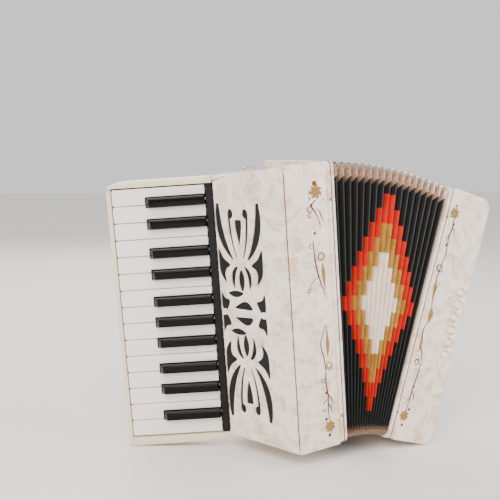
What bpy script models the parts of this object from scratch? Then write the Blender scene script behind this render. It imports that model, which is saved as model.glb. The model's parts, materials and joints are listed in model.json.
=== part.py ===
"""Piano accordion with 25 keys and 12 basses, every piece its own object. Metres, +Z up.

The instrument stands on its lower ends with the bellows fanned open at the top.  The keyboard
side is modelled upright about its own empty, the bass side about another, and both empties lean.
"""
import math

import bmesh
import bpy
from mathutils import Matrix, Vector

# Driving dimensions, in metres unless the name says degrees
GAP = 0.0003
RUN_CLEAR = 0.0005
WALL = 0.005
BODY_DEPTH = 0.128
CASING_WIDTH = 0.0567
FRAME_WIDTH = 0.0085
FRAME_CORNER = 0.006
SHOULDER = 0.0095
HEEL_RISE = 0.0045
HEEL_RUN = 0.080
EDGE_ROUND = 0.0012

KEY_PITCH = 0.018
WHITE_COUNT = 15
KEY_LENGTH = 0.0972
KEY_THICK = 0.008
KEY_SLIT = 0.0007
KEY_CORNER = 0.0020
BLACK_LENGTH = 0.062
BLACK_WIDTH = 0.0100
BLACK_RISE = 0.0075
BLACK_TOP_NARROWING = 0.0009
BLACK_FRONT_SLOPE = 0.0041
KEY_INCLINE_DEGREES = 29.75
KEY_REAR_OUT = 0.0420
KEY_REAR_FROM_BACK = 0.0332
KEYBOARD_BOTTOM = 0.0076
KEY_END_GAP = 0.0012
CHEEK = 0.0067
CHEEK_CURVE = 0.0247
CHEEK_RISE = 0.0015
LIP = 0.0045
LIP_DROP = 0.0012
LIP_GAP = 0.0012
BED_THICK = 0.008
BED_DROP = 0.0062
BED_BELLY = 0.0030
SEAT_SETBACK = 0.0085

AXLE_RADIUS = 0.0012
AXLE_SETBACK = 0.0030
LEVER_WIDTH = 0.0026
LEVER_DEPTH = 0.0036
LEVER_ROOT = 0.012
LEVER_BEND = 0.010
LEVER_LEVEL = 0.006
PALLET_WIDTH = 0.0076
PALLET_LENGTH = 0.026
PALLET_THICK = 0.005
PALLET_START = 0.014
PALLET_HOLE_SHARE = 0.7
BOARD_THICK = 0.006
BOARD_SETBACK = 0.040
REED_BLOCK_DEPTH = 0.024
REED_BLOCK_WIDTH = 0.029

GRILLE_THICK = 0.003
GRILLE_REVEAL = 0.0050
GRILLE_END_DROP = 0.0050
GRILLE_END_RUN = 0.024
RIDGE_POST = 0.003
FRET_CENTRE = 0.063

FAN_DEGREES = 21.2
BELLOWS_FOOT = 0.0528
FOLD_COUNT = 18
HINGED_FOLDS = 14
FOLD_DEPTH = 0.012
FOLD_WALL = 0.0024
FOLD_MARGIN = 0.0020
FOLD_CORNER = 0.009
FOLD_SIDE_STEPS = 4
RAIL_LAP = 0.0020

BASS_WIDTH = 0.063
BASS_HEIGHT = 0.2829
BASS_CORNER = 0.012
BASS_REED_ROWS = 12
BASS_REED_PITCH = 0.0141
PLATE_THICK = 0.005
PLATE_MARGIN = 0.014
BUTTON_ROWS = 6
BUTTON_PITCH = 0.0143
BUTTON_RADIUS = 0.0031
BUTTON_STAND = 0.0050
BUTTON_FIRST = 0.1095
BUTTON_STAGGER = 0.0072
BUTTON_COLUMN = 0.0060
COLLAR_RADIUS = 0.0042
COLLAR_CLEAR = 0.0006
AIR_RADIUS = 0.0055
AIR_STAND = 0.006
AIR_FROM_TOP = 0.0622
AIR_FROM_BACK = 0.027
FOOT_RADIUS = 0.0075
FOOT_HEIGHT = 0.0055
FOOT_INSET = 0.024
STRAP_WIDTH = 0.052
STRAP_THICK = 0.0030
STRAP_BOW = 0.0140
STRAP_SPAN = 0.200
STRAP_SEAT = 0.024
BRACKET_WIDTH = 0.024
BRACKET_HEIGHT = 0.030
BRACKET_THICK = 0.0015
BRACKET_CORNER = 0.004
BRACKET_OUT = 0.0145
LOOP_WIDTH = 0.0150
LOOP_WIRE = 0.0026
LOOP_REACH = 0.0092
LOOP_ROOT = 0.008
UPPER_LOOP_RISE = 0.0050
LOWER_BRACKET_INSET = 0.030

# Places worked out from the driving dimensions
KEYBOARD_SPAN = WHITE_COUNT * KEY_PITCH
TREBLE_HEIGHT = KEYBOARD_BOTTOM + KEYBOARD_SPAN + KEY_END_GAP + CHEEK + SHOULDER
FRONT = -BODY_DEPTH / 2
BACK = BODY_DEPTH / 2
INNER_FACE = CASING_WIDTH / 2
RIDGE = Vector((-CASING_WIDTH / 2, FRONT, 0))
INCLINE = math.radians(KEY_INCLINE_DEGREES)
FAN = math.radians(FAN_DEGREES)
KEY_REAR = Vector((-CASING_WIDTH / 2 - KEY_REAR_OUT, BACK - KEY_REAR_FROM_BACK, 0))
ALONG_KEY = Vector((-math.cos(INCLINE), math.sin(INCLINE), 0))
INTO_BED = Vector((math.sin(INCLINE), math.cos(INCLINE), 0))
FOOT_RADIUS_OF_FAN = BELLOWS_FOOT / (2 * math.sin(FAN / 2))
BED_TOP = KEY_THICK + BED_DROP
BED_BACK = BED_TOP + BED_THICK
FRAME_LEFT = INNER_FACE - FRAME_WIDTH
HINGED_ANGLE = FAN * HINGED_FOLDS / FOLD_COUNT
FRAME_RAIL = FOLD_MARGIN + FOLD_DEPTH + FOLD_WALL + RAIL_LAP


def key_point(along, into):
    """Point in the keyboard's own section: along the key from its rear, and into the bed."""
    return KEY_REAR + ALONG_KEY * along + INTO_BED * into


AXLE = key_point(-AXLE_SETBACK, KEY_THICK)
GRILLE_EDGE = key_point(-SEAT_SETBACK, -GRILLE_REVEAL)
GRILLE_RUN = (GRILLE_EDGE - RIDGE).normalized()
GRILLE_OUT = Vector((-abs(GRILLE_RUN.y), GRILLE_RUN.x, 0))
GRILLE_WIDTH = (GRILLE_EDGE - RIDGE).length
SHOULDER_RUN = GRILLE_WIDTH + 2 * RIDGE_POST
BOARD_LEFT = INNER_FACE - BOARD_SETBACK - BOARD_THICK
BED_CORNER = KEYBOARD_BOTTOM * 0.8
KEYBOARD_MIDDLE = KEYBOARD_BOTTOM + KEYBOARD_SPAN / 2


def clear_scene():
    for thing in list(bpy.data.objects):
        bpy.data.objects.remove(thing, do_unlink=True)


def finish(name, colour, roughness, metallic=0.0):
    """A Principled finish with a plain colour."""
    material = bpy.data.materials.new(name)
    material.use_nodes = True
    shader = material.node_tree.nodes["Principled BSDF"]
    shader.inputs["Base Color"].default_value = (*colour, 1.0)
    shader.inputs["Roughness"].default_value = roughness
    shader.inputs["Metallic"].default_value = metallic
    return material


def mesh_object(name, vertices, faces):
    """An object with one closed mesh, faces turned outwards."""
    mesh = bpy.data.meshes.new(name)
    mesh.from_pydata([tuple(v) for v in vertices], [], faces)
    bm = bmesh.new()
    bm.from_mesh(mesh)
    bmesh.ops.recalc_face_normals(bm, faces=bm.faces)
    bm.to_mesh(mesh)
    bm.free()
    thing = bpy.data.objects.new(name, mesh)
    bpy.context.scene.collection.objects.link(thing)
    return thing


def prism(name, low_ring, high_ring):
    """Closed solid between two rings with the same number of points."""
    count = len(low_ring)
    faces = [tuple(range(count)), tuple(range(2 * count - 1, count - 1, -1))]
    for i in range(count):
        j = (i + 1) % count
        faces.append((i, j, count + j, count + i))
    return mesh_object(name, list(low_ring) + list(high_ring), faces)


def upright_prism(name, outline, low, high):
    """Outline in X and Y, extruded upwards."""
    return prism(name, [(p[0], p[1], low) for p in outline], [(p[0], p[1], high) for p in outline])


def frontal_prism(name, outline, front, back):
    """Outline in X and Z, extruded from front to back."""
    return prism(name, [(p[0], front, p[1]) for p in outline], [(p[0], back, p[1]) for p in outline])


def sideways_prism(name, outline, left, right):
    """Outline in Y and Z, extruded from left to right."""
    return prism(name, [(left, p[0], p[1]) for p in outline], [(right, p[0], p[1]) for p in outline])


def keyboard_prism(name, outline, top, bottom):
    """Outline along the keys and upwards, extruded into the bed."""
    def ring(into):
        points = []
        for along, height in outline:
            point = key_point(along, into)
            points.append((point.x, point.y, height))
        return points
    return prism(name, ring(top), ring(bottom))


def grille_prism(name, outline, outer, inner):
    """Outline across the grille and upwards, extruded through its thickness."""
    def ring(depth):
        points = []
        for across, height in outline:
            point = RIDGE + GRILLE_RUN * across + GRILLE_OUT * depth
            points.append((point.x, point.y, height))
        return points
    return prism(name, ring(outer), ring(inner))


def rounded_rectangle(low, high, radius, steps=4):
    """Outline of a rectangle with equal round corners; low and high are its corner points."""
    points = []
    centres = [
        (high[0] - radius, high[1] - radius, 0),
        (low[0] + radius, high[1] - radius, 90),
        (low[0] + radius, low[1] + radius, 180),
        (high[0] - radius, low[1] + radius, 270),
    ]
    for x, y, start in centres:
        for i in range(steps + 1):
            angle = math.radians(start + 90 * i / steps)
            points.append((x + radius * math.cos(angle), y + radius * math.sin(angle)))
    return points


def block(name, low, high):
    return upright_prism(
        name, [(low[0], low[1]), (high[0], low[1]), (high[0], high[1]), (low[0], high[1])], low[2], high[2]
    )


def rod(name, start, end, radius, sides=20):
    """Straight round bar between two points."""
    start = Vector(start)
    end = Vector(end)
    turn = (end - start).to_track_quat("Z", "Y")
    rings = []
    for centre in (start, end):
        ring = []
        for i in range(sides):
            angle = math.tau * i / sides
            ring.append(centre + turn @ Vector((radius * math.cos(angle), radius * math.sin(angle), 0)))
        rings.append(ring)
    return prism(name, rings[0], rings[1])


def turned(name, profile, start, direction, sides=20):
    """Solid turned about an axis; profile is (distance along the axis, radius), ends on the axis."""
    turn = Vector(direction).to_track_quat("Z", "Y")
    start = Vector(start)
    vertices = [start + turn @ Vector((0, 0, profile[0][0]))]
    for along, radius in profile[1:-1]:
        for i in range(sides):
            angle = math.tau * i / sides
            offset = Vector((radius * math.cos(angle), radius * math.sin(angle), along))
            vertices.append(start + turn @ offset)
    vertices.append(start + turn @ Vector((0, 0, profile[-1][0])))
    faces = []
    rings = len(profile) - 2
    for i in range(sides):
        j = (i + 1) % sides
        faces.append((0, 1 + j, 1 + i))
        last = 1 + (rings - 1) * sides
        faces.append((len(vertices) - 1, last + i, last + j))
        for ring in range(rings - 1):
            base = 1 + ring * sides
            faces.append((base + i, base + j, base + sides + j, base + sides + i))
    return mesh_object(name, vertices, faces)


def apply_modifiers(thing):
    depsgraph = bpy.context.evaluated_depsgraph_get()
    mesh = bpy.data.meshes.new_from_object(thing.evaluated_get(depsgraph))
    thing.modifiers.clear()
    thing.data = mesh


def combine(target, tools, operation):
    """Boolean the tools into the target one after another, then remove them."""
    for tool in tools:
        modifier = target.modifiers.new("combine", "BOOLEAN")
        modifier.operation = operation
        modifier.solver = "EXACT"
        modifier.object = tool
        apply_modifiers(target)
        bpy.data.objects.remove(tool, do_unlink=True)
    return target


def cut(target, *tools):
    return combine(target, tools, "DIFFERENCE")


def join(target, *tools):
    return combine(target, tools, "UNION")


def common(target, *tools):
    return combine(target, tools, "INTERSECT")


def soften(thing, width, segments=1):
    """Small bevel on the sharp edges."""
    modifier = thing.modifiers.new("soften", "BEVEL")
    modifier.width = width
    modifier.segments = segments
    modifier.limit_method = "ANGLE"
    modifier.angle_limit = math.radians(40)
    apply_modifiers(thing)
    return thing


def hang(thing, parent, material, smooth=False):
    """Give the object its finish and hang it on its side's empty, keeping the side's own frame."""
    thing.parent = parent
    thing.data.materials.clear()
    thing.data.materials.append(material)
    if smooth:
        thing.data.shade_smooth()
        thing.data.set_sharp_from_angle(angle=math.radians(35))
    return thing


def put_origin(thing, place):
    """Move the object's origin to a point of its side's frame and leave the shape where it is."""
    place = Vector(place)
    thing.data.transform(Matrix.Translation(-place))
    thing.location = place
    return thing


def smooth_step(value):
    value = min(1.0, max(0.0, value))
    return value * value * (3 - 2 * value)


# Treble casing -----------------------------------------------------------------------------------

def shoulder_height(across):
    """Top of the casing; it slopes down across the grille, from the ridge to the keyboard."""
    share = min(1.0, max(0.0, (across + RIDGE_POST) / SHOULDER_RUN))
    return TREBLE_HEIGHT - SHOULDER * (1 - (1 - share) ** 1.5)


def heel_height(across):
    """Bottom of the casing; it rises across the grille towards the keyboard."""
    return HEEL_RISE * smooth_step((across + RIDGE_POST) / HEEL_RUN)


def casing_contour(inset, steps=8):
    """Outline of the casing seen square to the grille, as (across, height), moved inwards by inset."""
    right = -BODY_DEPTH
    left = GRILLE_WIDTH + BODY_DEPTH
    stations = [SHOULDER_RUN * i / steps - RIDGE_POST for i in range(steps + 1)]
    points = [(right, inset), (right, TREBLE_HEIGHT - inset)]
    points += [(across, shoulder_height(across) - inset) for across in stations]
    points += [(left, shoulder_height(left) - inset), (left, heel_height(left) + inset)]
    points += [(across, heel_height(across) + inset) for across in reversed(stations)]
    return points


def contour_prism(inset):
    """The contour run square to the grille through the whole casing."""
    return grille_prism("contour", casing_contour(inset), WALL, -BODY_DEPTH)


def seat_corner():
    """Where the keyboard's seat plane meets the casing's back plane."""
    foot = key_point(-SEAT_SETBACK, 0)
    return foot + INTO_BED * ((BACK - foot.y) / INTO_BED.y)


def casing_section():
    """Plan outline: ridge, front right, back right, back left, keyboard seat."""
    corner = seat_corner()
    outline = [(RIDGE.x, RIDGE.y), (FRAME_LEFT - GAP, FRONT), (FRAME_LEFT - GAP, BACK)]
    outline.append((corner.x, corner.y))
    outline.append((GRILLE_EDGE.x, GRILLE_EDGE.y))
    return outline


def make_treble_casing():
    casing = upright_prism("treble_casing", casing_section(), -WALL, TREBLE_HEIGHT + WALL)
    common(casing, contour_prism(0))
    soften(casing, EDGE_ROUND, 2)
    corner = seat_corner()
    slot = key_point(-SEAT_SETBACK - WALL, BED_TOP)
    slot_out = key_point(-SEAT_SETBACK + WALL, BED_TOP)
    front_of_ridge = RIDGE + GRILLE_RUN * RIDGE_POST
    beside = front_of_ridge + GRILLE_OUT * WALL
    far = GRILLE_EDGE + GRILLE_RUN * WALL + GRILLE_OUT * WALL
    inside = front_of_ridge - GRILLE_OUT * WALL
    plan = [
        (beside.x, beside.y), (inside.x, inside.y), (inside.x, FRONT + WALL),
        (INNER_FACE, FRONT + WALL), (INNER_FACE, BACK - WALL),
        (corner.x + WALL, BACK - WALL), (slot.x, slot.y), (slot_out.x, slot_out.y), (far.x, far.y),
    ]
    hollow = upright_prism("hollow", plan, -WALL, TREBLE_HEIGHT + WALL)
    common(hollow, contour_prism(WALL))
    cut(casing, hollow)
    rebate = grille_outline(RIDGE_POST, GRILLE_WIDTH + WALL, -GAP)
    cut(casing, grille_prism("rebate", rebate, WALL, -GRILLE_THICK - GAP))
    return casing


def make_treble_frame():
    outer = rounded_rectangle((FRONT, 0), (BACK, TREBLE_HEIGHT), FRAME_CORNER, 4)
    inner = rounded_rectangle(
        (FRONT + FRAME_RAIL, FRAME_RAIL), (BACK - FRAME_RAIL, TREBLE_HEIGHT - FRAME_RAIL), EDGE_ROUND * 2, 3
    )
    frame = sideways_prism("treble_bellows_frame", outer, FRAME_LEFT, INNER_FACE)
    cut(frame, sideways_prism("window", inner, FRAME_LEFT - WALL, INNER_FACE + WALL))
    return frame


# Grille ------------------------------------------------------------------------------------------

def leaf(points, widths, steps=8):
    """Outline of a tapering stroke along a smooth curve through three points, widths at each."""
    start, middle, end = [Vector(p) for p in points]
    control = middle * 2 - (start + end) / 2
    left = []
    right = []
    for i in range(steps + 1):
        t = i / steps
        centre = start * (1 - t) ** 2 + control * (2 * t * (1 - t)) + end * t ** 2
        ahead = (control - start) * (2 * (1 - t)) + (end - control) * (2 * t)
        across = Vector((-ahead.y, ahead.x)).normalized()
        width = widths[0] * (1 - t) * (1 - 2 * t) + widths[1] * 4 * t * (1 - t) + widths[2] * t * (2 * t - 1)
        half = max(width, 0.0004) / 2
        left.append(centre + across * half)
        right.append(centre - across * half)
    return [(p.x, p.y) for p in left + right[::-1]]


def oval(centre, half_width, half_height, steps=12):
    points = []
    for i in range(steps):
        angle = math.tau * i / steps
        points.append((centre[0] + half_width * math.cos(angle), centre[1] + half_height * math.sin(angle)))
    return points


def fret_shapes():
    """Openings of the grille's upper half, as (across from its centre, up from its middle)."""
    mm = 0.001
    shapes = []
    for side in (1, -1):
        def place(*points):
            return [(side * a * mm, b * mm) for a, b in points]
        shapes.append(leaf(place((25.5, 115), (23, 82), (9.5, 56.5)), (0.0030, 0.0062, 0.0012)))
        shapes.append(leaf(place((11.5, 104), (9.8, 80), (4.2, 58.5)), (0.0026, 0.0021, 0.0012)))
        shapes.append(oval(place((9.6, 104.2))[0], 0.0036, 0.0050))
        wedge = place((28.2, 68), (28.9, 52), (27.2, 40), (20, 31), (20.8, 41), (18.3, 47), (13.6, 51), (22, 58))
        shapes.append(wedge)
        shapes.append(leaf(place((4.4, 49), (10.2, 40), (9.8, 25)), (0.0014, 0.0040, 0.0008)))
        shapes.append(place((28.5, 22), (29, 5), (25, 3.5), (21.5, 3), (17.5, 12.5), (24, 15.5)))
    shapes.append(leaf([(0, 0.098), (0, 0.088), (0, 0.072)], (0.0060, 0.0058, 0.0008)))
    shapes.append(leaf([(0, 0.046), (0, 0.035), (0, 0.023)], (0.0016, 0.0058, 0.0012)))
    shapes.append(leaf([(0.019, 0.0205), (0.009, 0.0202), (-0.001, 0.0215)], (0.0008, 0.0052, 0.0010)))
    shapes.append([(-0.0115, 0.0045), (0.0115, 0.0050), (0.004, 0.0105), (-0.002, 0.0128), (-0.008, 0.011)])
    return shapes


def grille_outline(near, far, inset, steps=12):
    """Outline of the grille plate, as (across, height); its far end drops below the casing's edge."""
    stations = [near + (far - near) * i / steps for i in range(steps + 1)]
    def end_drop(across):
        return GRILLE_END_DROP * smooth_step((across - GRILLE_WIDTH + GRILLE_END_RUN) / GRILLE_END_RUN)
    points = [(across, shoulder_height(across) - end_drop(across) - inset) for across in stations]
    points += [(across, heel_height(across) + end_drop(across) + inset) for across in reversed(stations)]
    return points


def make_grille():
    outline = grille_outline(RIDGE_POST + GAP, GRILLE_WIDTH - EDGE_ROUND, GAP)
    grille = grille_prism("treble_grille", outline, 0, -GRILLE_THICK)
    openings = []
    for turn in (1, -1):
        for shape in fret_shapes():
            placed = [(FRET_CENTRE + a, KEYBOARD_MIDDLE + turn * b) for a, b in shape]
            openings.append(grille_prism("opening", placed, WALL, -2 * GRILLE_THICK))
    for opening in openings:
        cut(grille, opening)
    return grille


# Keyboard ----------------------------------------------------------------------------------------

def make_keyboard_bed():
    """The board under the keys with its two end cheeks and the lip in front of the key ends."""
    low = -BED_BELLY
    high = TREBLE_HEIGHT - SHOULDER
    rear = -SEAT_SETBACK + GAP
    tip = KEY_LENGTH + LIP_GAP + LIP
    outline = [(rear, 0.0), (KEY_LENGTH / 4, low * 0.8), (KEY_LENGTH / 2, low)]
    radius = BED_CORNER
    for i in range(5):
        angle = math.radians(270 + 90 * i / 4)
        outline.append((tip - radius + radius * math.cos(angle), low + radius + radius * math.sin(angle)))
    for i in range(7):
        angle = math.radians(90 * i / 6)
        along = tip - CHEEK_CURVE + CHEEK_CURVE * math.cos(angle)
        outline.append((along, high - CHEEK + CHEEK * math.sin(angle)))
    outline += [(KEY_LENGTH / 2, high), (rear, high)]
    bed = keyboard_prism("keyboard_bed", outline, -CHEEK_RISE, BED_BACK)
    soften(bed, EDGE_ROUND, 2)
    well_low = KEYBOARD_BOTTOM - KEY_END_GAP
    well_high = KEYBOARD_BOTTOM + KEYBOARD_SPAN + KEY_END_GAP
    well = [(rear - WALL, well_low), (KEY_LENGTH + LIP_GAP, well_low)]
    well += [(KEY_LENGTH + LIP_GAP, well_high), (rear - WALL, well_high)]
    cut(bed, keyboard_prism("well", well, -2 * CHEEK, BED_TOP))
    lip_cut = [(KEY_LENGTH - WALL, well_low), (tip + WALL, well_low), (tip + WALL, well_high)]
    lip_cut.append((KEY_LENGTH - WALL, well_high))
    cut(bed, keyboard_prism("lip_cut", lip_cut, -2 * CHEEK, LIP_DROP))
    bore_low = (AXLE.x, AXLE.y, well_low - CHEEK * 0.45)
    bore_high = (AXLE.x, AXLE.y, well_high + CHEEK * 0.45)
    cut(bed, rod("bore", bore_low, bore_high, AXLE_RADIUS + GAP, 12))
    return bed


def make_key_axle():
    low = KEYBOARD_BOTTOM - KEY_END_GAP - CHEEK * 0.4
    high = KEYBOARD_BOTTOM + KEYBOARD_SPAN + KEY_END_GAP + CHEEK * 0.4
    return rod("key_axle", (AXLE.x, AXLE.y, low), (AXLE.x, AXLE.y, high), AXLE_RADIUS, 12)


def black_places():
    """Height of each black key's middle: groups of two and three lean apart about their white keys."""
    apart = {2: (0.14, -0.14), 3: (0.23, -0.02, -0.27), 1: (0.21,)}
    places = []
    top = KEYBOARD_BOTTOM + KEYBOARD_SPAN
    for first, size in ((1, 2), (4, 2), (7, 3), (11, 2), (14, 1)):
        for i in range(size):
            places.append(top - (first + i - apart[size][i]) * KEY_PITCH)
    return places


def lever_outline():
    """Plan outline of a key's lever, from inside the key past the axle to the pallet's back."""
    pallet_x = BOARD_LEFT - GAP - PALLET_THICK * 0.75
    path = [
        key_point(LEVER_ROOT, KEY_THICK - LEVER_DEPTH * 0.85),
        key_point(-AXLE_SETBACK * 0.2, KEY_THICK - LEVER_DEPTH * 0.45),
        AXLE + Vector((LEVER_BEND, -LEVER_BEND, 0)),
        Vector((pallet_x - LEVER_LEVEL, LEVER_LEVEL / 3, 0)),
        Vector((pallet_x, -PALLET_START, 0)),
        Vector((pallet_x, -PALLET_START - PALLET_LENGTH * 0.7, 0)),
    ]
    left = []
    right = []
    for i, point in enumerate(path):
        ahead = path[min(i + 1, len(path) - 1)] - path[max(i - 1, 0)]
        across = Vector((-ahead.y, ahead.x, 0)).normalized() * (LEVER_DEPTH / 2)
        left.append(point + across)
        right.append(point - across)
    return [(p.x, p.y) for p in left + right[::-1]]


def add_lever(key, height):
    """Join the lever, the boss around the axle and the pallet to a key, then bore it."""
    half = LEVER_WIDTH / 2
    lever = upright_prism("lever", lever_outline(), height - half, height + half)
    boss = rod("boss", (AXLE.x, AXLE.y, height - half), (AXLE.x, AXLE.y, height + half), LEVER_DEPTH, 12)
    pallet = block(
        "pallet",
        (BOARD_LEFT - GAP - PALLET_THICK, -PALLET_START - PALLET_LENGTH, height - PALLET_WIDTH / 2),
        (BOARD_LEFT - GAP, -PALLET_START, height + PALLET_WIDTH / 2),
    )
    join(key, lever, boss, pallet)
    below = (AXLE.x, AXLE.y, height - KEY_PITCH)
    above = (AXLE.x, AXLE.y, height + KEY_PITCH)
    cut(key, rod("bore", below, above, AXLE_RADIUS + GAP, 10))
    return put_origin(key, AXLE)


def white_edges(index):
    """Bottom and top of a white key at its wide end."""
    top = KEYBOARD_BOTTOM + KEYBOARD_SPAN - index * KEY_PITCH - KEY_SLIT / 2
    return top - KEY_PITCH + KEY_SLIT, top


def white_tail(index):
    """Bottom and top of a white key between its black neighbours."""
    bottom, top = white_edges(index)
    half = BLACK_WIDTH / 2 + KEY_SLIT
    tail_bottom = bottom
    tail_top = top
    for place in black_places():
        if bottom < place - half < top and place > top - KEY_PITCH / 2:
            tail_top = place - half
        if bottom < place + half < top and place < bottom + KEY_PITCH / 2:
            tail_bottom = place + half
    return tail_bottom, tail_top


def make_white_key(index):
    """Key with rounded front corners, notched beside its black neighbours."""
    bottom, top = white_edges(index)
    tail_bottom, tail_top = white_tail(index)
    notch = BLACK_LENGTH + KEY_SLIT
    outline = [(0.0, tail_bottom)]
    if tail_bottom > bottom:
        outline += [(notch, tail_bottom), (notch, bottom)]
    for height, start in ((bottom + KEY_CORNER, 270), (top - KEY_CORNER, 0)):
        for i in range(3):
            angle = math.radians(start + 45 * i)
            along = KEY_LENGTH - KEY_CORNER + KEY_CORNER * math.cos(angle)
            outline.append((along, height + KEY_CORNER * math.sin(angle)))
    if tail_top < top:
        outline += [(notch, top), (notch, tail_top)]
    outline.append((0.0, tail_top))
    key = keyboard_prism(f"key_white_{index + 1:02d}", outline, 0, KEY_THICK)
    soften(key, KEY_SLIT)
    return add_lever(key, (tail_top + tail_bottom) / 2)


def make_black_key(index, height):
    """Raised key, narrower at its top, with a sloping front."""
    name = f"key_black_{index + 1:02d}"
    half = BLACK_WIDTH / 2
    top_half = half - BLACK_TOP_NARROWING
    top_run = BLACK_LENGTH - BLACK_FRONT_SLOPE
    def ring(half_width, along, into):
        return [
            (key_point(0, into).x, key_point(0, into).y, height - half_width),
            (key_point(along, into).x, key_point(along, into).y, height - half_width),
            (key_point(along, into).x, key_point(along, into).y, height + half_width),
            (key_point(0, into).x, key_point(0, into).y, height + half_width),
        ]
    rings = ring(half, BLACK_LENGTH, KEY_THICK) + ring(half, BLACK_LENGTH, 0)
    rings += ring(top_half, top_run, -BLACK_RISE)
    faces = [(0, 1, 2, 3), (8, 11, 10, 9)]
    for base in (0, 4):
        for i in range(4):
            j = (i + 1) % 4
            faces.append((base + i, base + 4 + i, base + 4 + j, base + j))
    key = mesh_object(name, rings, faces)
    soften(key, KEY_SLIT * 1.4)
    return add_lever(key, height)


def make_soundboard(name, left, heights, height, hole_length, hole_middle):
    """Board across a casing with one opening under each pallet."""
    board = block(
        name,
        (left, FRONT + WALL + GAP, WALL + GAP),
        (left + BOARD_THICK, BACK - WALL - GAP, height - WALL - GAP),
    )
    for place in heights:
        low = (left - WALL, hole_middle - hole_length / 2, place - PALLET_WIDTH * 0.3)
        high = (left + BOARD_THICK + WALL, hole_middle + hole_length / 2, place + PALLET_WIDTH * 0.3)
        cut(board, block("hole", low, high))
    return board


def make_reed_block(name, left, width, depth, middle, heights, low, high):
    """Long block with a reed chamber at each pallet's height, open to the front."""
    body = block(name, (left, middle - depth / 2, low), (left + width, middle + depth / 2, high))
    for place in heights:
        start = (left + width * 0.25, middle - depth, place - PALLET_WIDTH * 0.3)
        end = (left + width * 0.85, middle + depth * 0.2, place + PALLET_WIDTH * 0.3)
        cut(body, block("chamber", start, end))
    return body


# Bellows -----------------------------------------------------------------------------------------

def fan_point(angle, radius, depth):
    """Point in the treble's frame: angle from the treble's inner face about the fan's apex."""
    apex_x = INNER_FACE
    apex_z = -FOOT_RADIUS_OF_FAN
    return (apex_x + radius * math.sin(angle), depth, apex_z + radius * math.cos(angle))


def fan_reach(angle):
    """Distance of the bellows' upper edge from the apex at an angle."""
    share = angle / FAN
    return FOOT_RADIUS_OF_FAN + TREBLE_HEIGHT + (BASS_HEIGHT - TREBLE_HEIGHT) * share


def fold_ring(angle, inset):
    """Rounded rectangular ring of the bellows in the radial plane at an angle."""
    low = (FRONT + inset, FOOT_RADIUS_OF_FAN + inset)
    high = (BACK - inset, fan_reach(angle) - inset)
    outline = rounded_rectangle(low, high, FOLD_CORNER, 3)
    ring = []
    for i, (depth, radius) in enumerate(outline):
        ring.append(Vector(fan_point(angle, radius, depth)))
        next_depth, next_radius = outline[(i + 1) % len(outline)]
        if abs(next_depth - depth) < GAP:
            for step in range(1, FOLD_SIDE_STEPS):
                between = radius + (next_radius - radius) * step / FOLD_SIDE_STEPS
                ring.append(Vector(fan_point(angle, between, depth)))
    return ring


def make_folds(name, start, end, count):
    """Pleated tube between two angles; its ridges stand out and its valleys lie FOLD_DEPTH in."""
    rings = []
    for i in range(2 * count + 1):
        angle = start + (end - start) * i / (2 * count)
        valley = i % 2 == 0
        rings.append((angle, FOLD_MARGIN + (FOLD_DEPTH if valley else 0.0)))
    vertices = []
    for layer in (0.0, FOLD_WALL):
        for angle, inset in rings:
            vertices += fold_ring(angle, inset + layer)
    size = len(fold_ring(start, 0.01))
    total = len(rings)
    faces = []
    for layer in range(2):
        for r in range(total - 1):
            for i in range(size):
                j = (i + 1) % size
                a = (layer * total + r) * size
                for triangle in ((a + i, a + j, a + size + j), (a + i, a + size + j, a + size + i)):
                    faces.append(triangle if layer == 0 else triangle[::-1])
    for r in (0, total - 1):
        for i in range(size):
            j = (i + 1) % size
            outer = r * size
            inner = (total + r) * size
            faces.append((outer + i, inner + i, inner + j, outer + j))
    return mesh_object(name, vertices, faces)


def make_middle_fold():
    """Stiff card frame between the hinged folds and the drawn folds."""
    half = math.atan(FOLD_WALL / 2 / FOOT_RADIUS_OF_FAN)
    rings = []
    for inset in (FOLD_MARGIN, FOLD_MARGIN + FOLD_DEPTH + FOLD_WALL):
        for angle in (HINGED_ANGLE - half, HINGED_ANGLE + half):
            rings.append(fold_ring(angle, inset))
    outer = prism("bellows_middle_fold", rings[0], rings[1])
    wide_low = fold_ring(HINGED_ANGLE - 3 * half, FOLD_MARGIN + FOLD_DEPTH + FOLD_WALL)
    wide_high = fold_ring(HINGED_ANGLE + 3 * half, FOLD_MARGIN + FOLD_DEPTH + FOLD_WALL)
    return cut(outer, prism("window", wide_low, wide_high))


# Bass side, in its own frame: X from the bellows outwards, Z up from its lower end -----------------

def bass_outline(left, right, inset, radius, steps=5):
    """Front outline of the bass casing with its two outer corners rounded."""
    low = inset
    high = BASS_HEIGHT - inset
    points = [(left, low)]
    for i in range(steps + 1):
        angle = math.radians(270 + 90 * i / steps)
        points.append((right - radius + radius * math.cos(angle), low + radius + radius * math.sin(angle)))
    for i in range(steps + 1):
        angle = math.radians(90 * i / steps)
        points.append((right - radius + radius * math.cos(angle), high - radius + radius * math.sin(angle)))
    points.append((left, high))
    return points


def button_places():
    """Column and height of each bass button on the front wall."""
    outer = BASS_WIDTH - WALL - COLLAR_RADIUS - COLLAR_CLEAR
    places = []
    for row in range(BUTTON_ROWS):
        places.append((outer - BUTTON_COLUMN, BUTTON_FIRST - BUTTON_STAGGER + row * BUTTON_PITCH))
        places.append((outer, BUTTON_FIRST + row * BUTTON_PITCH))
    return places


def air_place():
    return (BASS_WIDTH, BACK - AIR_FROM_BACK, BASS_HEIGHT - AIR_FROM_TOP)


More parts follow.
